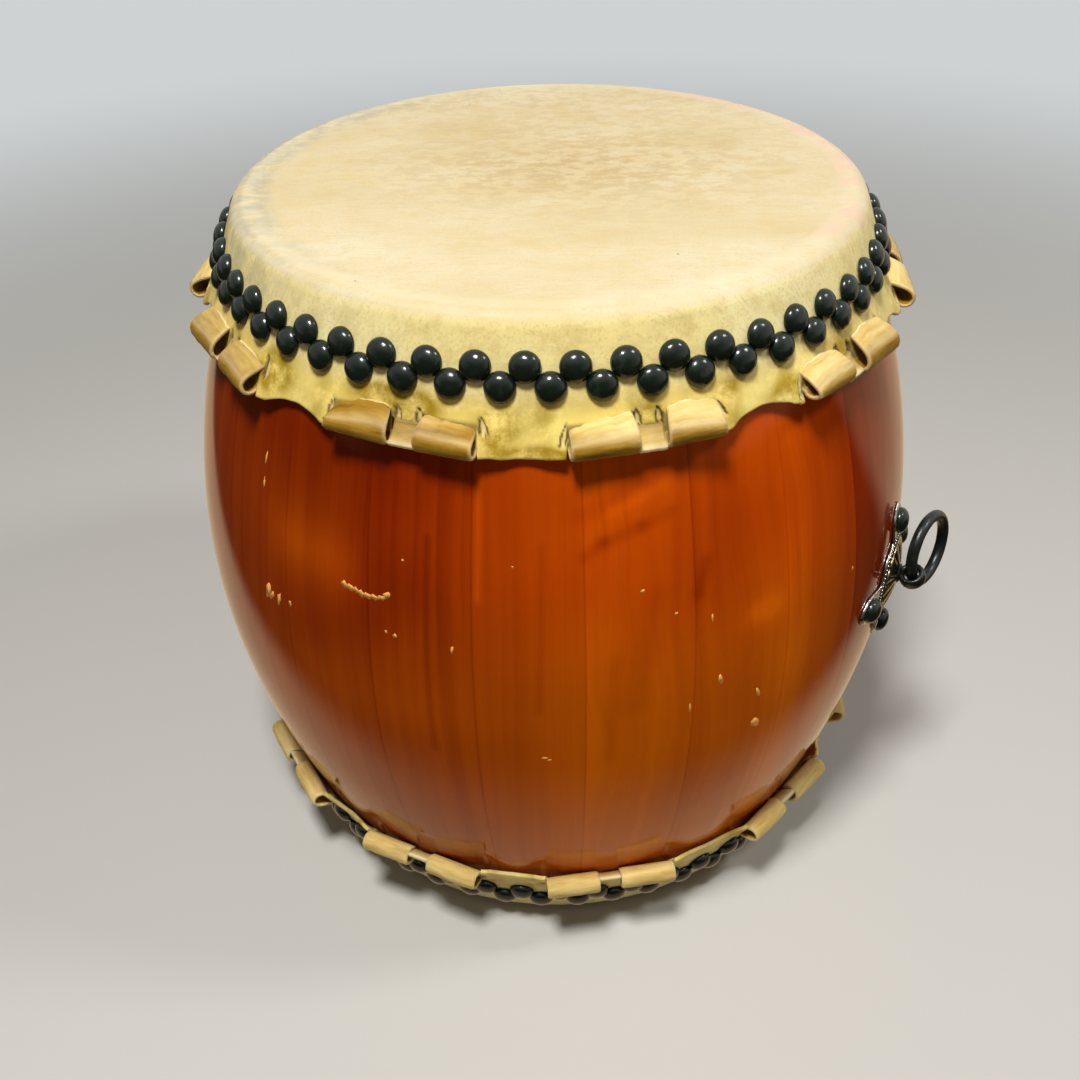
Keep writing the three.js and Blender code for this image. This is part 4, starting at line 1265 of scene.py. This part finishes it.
def build_handle(side, angle):
    place = Matrix.Translation((0, 0, MM * HANDLE_HEIGHT)) @ Matrix.Rotation(radians(angle), 4, "Z")
    hinge = hinge_matrix()

    def piece(name, part, material, body, slot, *nodes):
        settle(outward(make_piece(name, *part, material, matrix=place)), body, slot, *nodes)

    ring = moved(ring_part(), hinge @ Matrix.Rotation(RING_SWING, 4, "Z"))
    piece(f"ring_{side}_forged", ring, ring_black, f"ring_{side}", "black_iron", f"handle_ring_{side}")
    bolt = joined([moved(eye_part(), hinge), neck_part(), leg_part(1), leg_part(-1)])
    piece(f"bolt_{side}_forged", bolt, ring_black, "drum", "black_iron", f"eye_bolt_{side}")
    piece(f"plate_{side}_lobed", plate_part(), plate_steel, "drum", "plated_steel", f"seat_plate_{side}")
    beads = joined([bead_part(turn) for turn in round_turns(BEADS)])
    piece(f"plate_{side}_beads", beads, plate_steel, "drum", "plated_steel")
    piece(f"boss_{side}_fluted", boss_part(), boss_steel, "drum", "plated_steel", f"handle_boss_{side}")
    shank = spin([(0, -PLATE_TACK_LENGTH), (1.6, 2 - PLATE_TACK_LENGTH), (1.9, 0.5), (0, 1)], 8)
    tack = joined([dome_part(PLATE_TACK_DOME), shank])
    for name, across, up in (("right", REACH_SIDE, 0), ("top", 0, REACH_UP),
                             ("left", -REACH_SIDE, 0), ("bottom", 0, -REACH_UP)):
        piece(f"tack_{side}_{name}", moved(tack, handle_seat(across, up, PLATE_TOP)), tack_black,
              "drum", "black_iron", f"plate_tack_{side}_{name}")


build_handle("right", HANDLE_ANGLE)
build_handle("left", HANDLE_ANGLE + 180)


# Chips and scratches in the lacquer, each a thin patch of bare wood

# Degrees, height, half width, half height, and lean in degrees
CHIPS = (
    (-135.5, 340.0, 2.4, 7.5, 20), (-134.6, 338.1, 2.0, 5.5, 35), (-132.9, 339.9, 1.8, 7.0, 15),
    (-130.4, 341.1, 1.1, 3.4, 0), (-136.4, 445.5, 1.0, 5.5, 10), (-136.5, 426.3, 0.9, 4.5, 5),
    (-111.9, 350.8, 1.5, 1.9, 0), (-113.3, 352.0, 0.9, 1.4, 0), (-103.8, 348.7, 1.0, 3.4, 5),
    (-78.3, 393.6, 1.4, 1.7, 0), (-73.7, 372.3, 1.1, 1.3, 0), (-68.5, 362.0, 0.7, 3.2, 0),
    (-67.0, 305.8, 1.6, 5.5, -5), (-60.5, 279.5, 1.1, 5.8, -20), (-71.5, 287.2, 0.8, 4.6, 0),
    (-60.2, 246.7, 2.7, 6.2, -25), (-91.7, 253.3, 1.7, 1.0, 0), (-91.0, 251.0, 1.4, 0.9, 0),
    (-110.7, 410.5, 0.9, 1.2, 0), (-41.9, 344.0, 1.0, 2.2, 0), (-95.5, 415.5, 0.8, 1.0, 0))
CHIP_CORNERS = 11
# Degrees and height along the long scratch, and the outline of one of its bits: along it, and across it
SCRATCH = ((-120.3, 380.3), (-119.3, 378.8), (-118.3, 378.9), (-117.5, 377.7), (-116.6, 376.2),
           (-115.5, 377.1), (-114.4, 377.1), (-113.4, 379.2), (-112.7, 383.5))
SCRATCH_BIT = ((-0.08, 0.2), (0.25, 1.0), (0.6, 0.7), (1.08, 0.4),
               (1.08, -0.3), (0.7, -0.8), (0.3, -0.5), (-0.08, -0.4))


def patch_part(angle, height, outline):
    """A patch from a closed outline of (side, up) round a place on the shell."""
    points = []
    for off in (-0.15, 0.06):
        for side, up in outline:
            radius = shell_radius(height + up) + off
            points.append(polar(radius, angle + degrees(side / radius), height + up))
    return points, tube_faces(2, len(outline), "capped")


def chip_part(angle, height, half_width, half_height, lean, rng):
    outline = []
    c, s = cos(radians(lean)), sin(radians(lean))
    for turn in round_turns(CHIP_CORNERS):
        reach = rng.uniform(0.6, 1.15)
        x, y = 1.3 * half_width * reach * cos(turn), half_height * reach * sin(turn)
        outline.append((c * x + s * y, -s * x + c * y))
    return patch_part(angle, height, outline)


def scratch_parts(rng):
    parts = []
    for (angle, height), (next_angle, next_height) in zip(SCRATCH, SCRATCH[1:]):
        side, up = shell_radius(height) * radians(next_angle - angle), next_height - height
        length = hypot(side, up)
        wide = rng.uniform(2.2, 3.4)
        outline = [(side * share - up / length * wide * away, up * share + side / length * wide * away)
                   for share, away in SCRATCH_BIT]
        parts.append(patch_part(angle, height, outline))
    return parts


chip_rng = random.Random(5)
chip_parts = [chip_part(*chip, chip_rng) for chip in CHIPS] + scratch_parts(chip_rng)
chips = make_piece("lacquer_chips", *joined(chip_parts), raw_wood)
settle(outward(chips), "drum", "lacquered_wood")


# Stage: floor, world, lamps and camera

BACKDROP = (0.62, 0.645, 0.65)
PALE_FLOOR = (0.62, 0.60, 0.55)
DEEP_FLOOR = (0.42, 0.39, 0.34)
NEAR_PAINTED_REFLECTION = (0.66, 0.50, 0.32)
FAR_PAINTED_REFLECTION = (0.045, 0.035, 0.022)
FLOOR_RADIUS = 9000.0
FLOOR_DROP = 0.4
FLOOR_SIDES = 60
# Front edge of the floor's bright painted reflection in metres: how far ahead it lies, its slope and bend,
# and where it levels off
LIT_AHEAD = 0.40
LIT_SLOPE = 0.1
LIT_BEND = 1.2
LIT_LEVEL = 0.68

LAMP_DISTANCE = 2.6
LAMP_TARGET = (0, 0, 0.3)
CAMERA_PLACE = (0, -0.91979, 0.90827)
CAMERA_TURN = (53.713679, 1.424845, 0.31385)


def floor_material():
    """Pale and fading into the backdrop to the camera, darker to other rays; to mirrored rays it glows as a
    painted reflection, bright near the drum and dark in front.
    """
    n = new_material("pale_floor")
    path, place = n.node("ShaderNodeLightPath").outputs, n.place()
    colour = n.blend(path["Is Camera Ray"], DEEP_FLOOR, PALE_FLOOR)
    n.finish(Base_Color=colour, Roughness=0.8, Specular_IOR_Level=0.0)
    # To mirrored rays the floor glows as a painted reflection: bright near the drum, dark in front
    ways = n.split(place)
    along = n.math("MINIMUM", ways["X"], LIT_LEVEL)
    bow = n.times(along, n.plus(n.times(along, LIT_BEND), LIT_SLOPE))
    reach = n.less(n.plus(ways["Y"], LIT_AHEAD), bow)
    painted_reflection = n.blend(n.step(reach, -0.08, 0.10), FAR_PAINTED_REFLECTION, NEAR_PAINTED_REFLECTION)
    away = n.node("ShaderNodeVectorMath", {0: place}, operation="LENGTH").outputs["Value"]
    fade = n.times(path["Is Camera Ray"], n.step(away, 0.9, 2.6))
    mirrored = n.math("MAXIMUM", path["Is Glossy Ray"], path["Is Transmission Ray"])
    glow, haze = (n.node("ShaderNodeEmission", {"Color": light, "Strength": 1.0}).outputs[0]
                  for light in (painted_reflection, BACKDROP))
    seen = n.mixed(fade, n.shader.outputs[0], haze)
    n.feed(n.tree.nodes["Material Output"].inputs["Surface"], n.mixed(mirrored, seen, glow))
    return n.owner


def studio_world():
    """A pale backdrop, weak fill, and a room for mirrored rays: bright above, dim in front."""
    n = Nodes(bpy.data.worlds.new("studio"))
    bpy.context.scene.world = n.owner
    way = n.split(n.node("ShaderNodeTexCoord").outputs["Generated"])
    front = n.step(n.times(way["Y"], -1.0), 0.15, 0.75)
    above = n.step(way["Z"], 0.25, 0.85)
    low = n.less(0.62, n.times(front, 0.56))
    low = n.plus(low, n.times(n.step(way["X"], 0.25, 0.85), 0.30))
    level = n.plus(low, n.times(above, n.less(0.90, low)))
    fill = n.tree.nodes["Background"]
    mirrored, seen = n.node("ShaderNodeBackground"), n.node("ShaderNodeBackground")
    for made, colour, strength in ((fill, (1.0, 0.99, 0.97), 0.10), (mirrored, (0.96, 0.97, 1.0), level),
                                   (seen, BACKDROP, 1.0)):
        n.feed(made.inputs["Color"], colour)
        n.feed(made.inputs["Strength"], strength)
    path = n.node("ShaderNodeLightPath").outputs
    either = n.math("MAXIMUM", path["Is Camera Ray"], path["Is Transmission Ray"])
    lit = n.mixed(path["Is Glossy Ray"], fill.outputs[0], mirrored.outputs[0])
    n.feed(n.tree.nodes["World Output"].inputs["Surface"], n.mixed(either, lit, seen.outputs[0]))


def area_lamp(name, azimuth, elevation, size, radiance):
    """A round lamp that gives a surface facing it the same light at any size."""
    light = bpy.data.lights.new(name, "AREA")
    light.shape = "DISK"
    light.size = size
    light.energy = radiance * (pi * LAMP_DISTANCE) ** 2
    lamp = bpy.data.objects.new(name, light)
    rise = radians(elevation)
    direction = Vector(polar(cos(rise), azimuth, sin(rise)))
    lamp.location = Vector(LAMP_TARGET) + LAMP_DISTANCE * direction
    lamp.rotation_euler = direction.to_track_quat("Z", "Y").to_euler()
    bpy.context.scene.collection.objects.link(lamp)


floor_points = [polar(FLOOR_RADIUS, 360 / FLOOR_SIDES * k, -FLOOR_DROP) for k in range(FLOOR_SIDES)]
make_piece("floor", floor_points, [tuple(range(FLOOR_SIDES))], floor_material())
studio_world()
area_lamp("key_lamp", -105, 66.5, 0.54, 0.99)
area_lamp("side_lamp", -8, 50, 0.45, 0.26)

camera_data = bpy.data.cameras.new("camera")
camera_data.sensor_width = 36
camera_data.lens = 41.06
camera_data.shift_x = 0.00948
camera_data.shift_y = -0.0040
camera_data.clip_end = 50
camera = bpy.data.objects.new("camera", camera_data)
camera_turn = Euler([radians(angle) for angle in CAMERA_TURN])
camera.matrix_world = Matrix.LocRotScale(Vector(CAMERA_PLACE), camera_turn, None)
bpy.context.scene.collection.objects.link(camera)
bpy.context.scene.camera = camera

bpy.context.scene.view_settings.view_transform = "Standard"

# The nodes that no piece replaces are seen as they are
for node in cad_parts.values():
    if not node.hide_render:
        node.data.materials.clear()
        node.data.materials.append(ring_black)
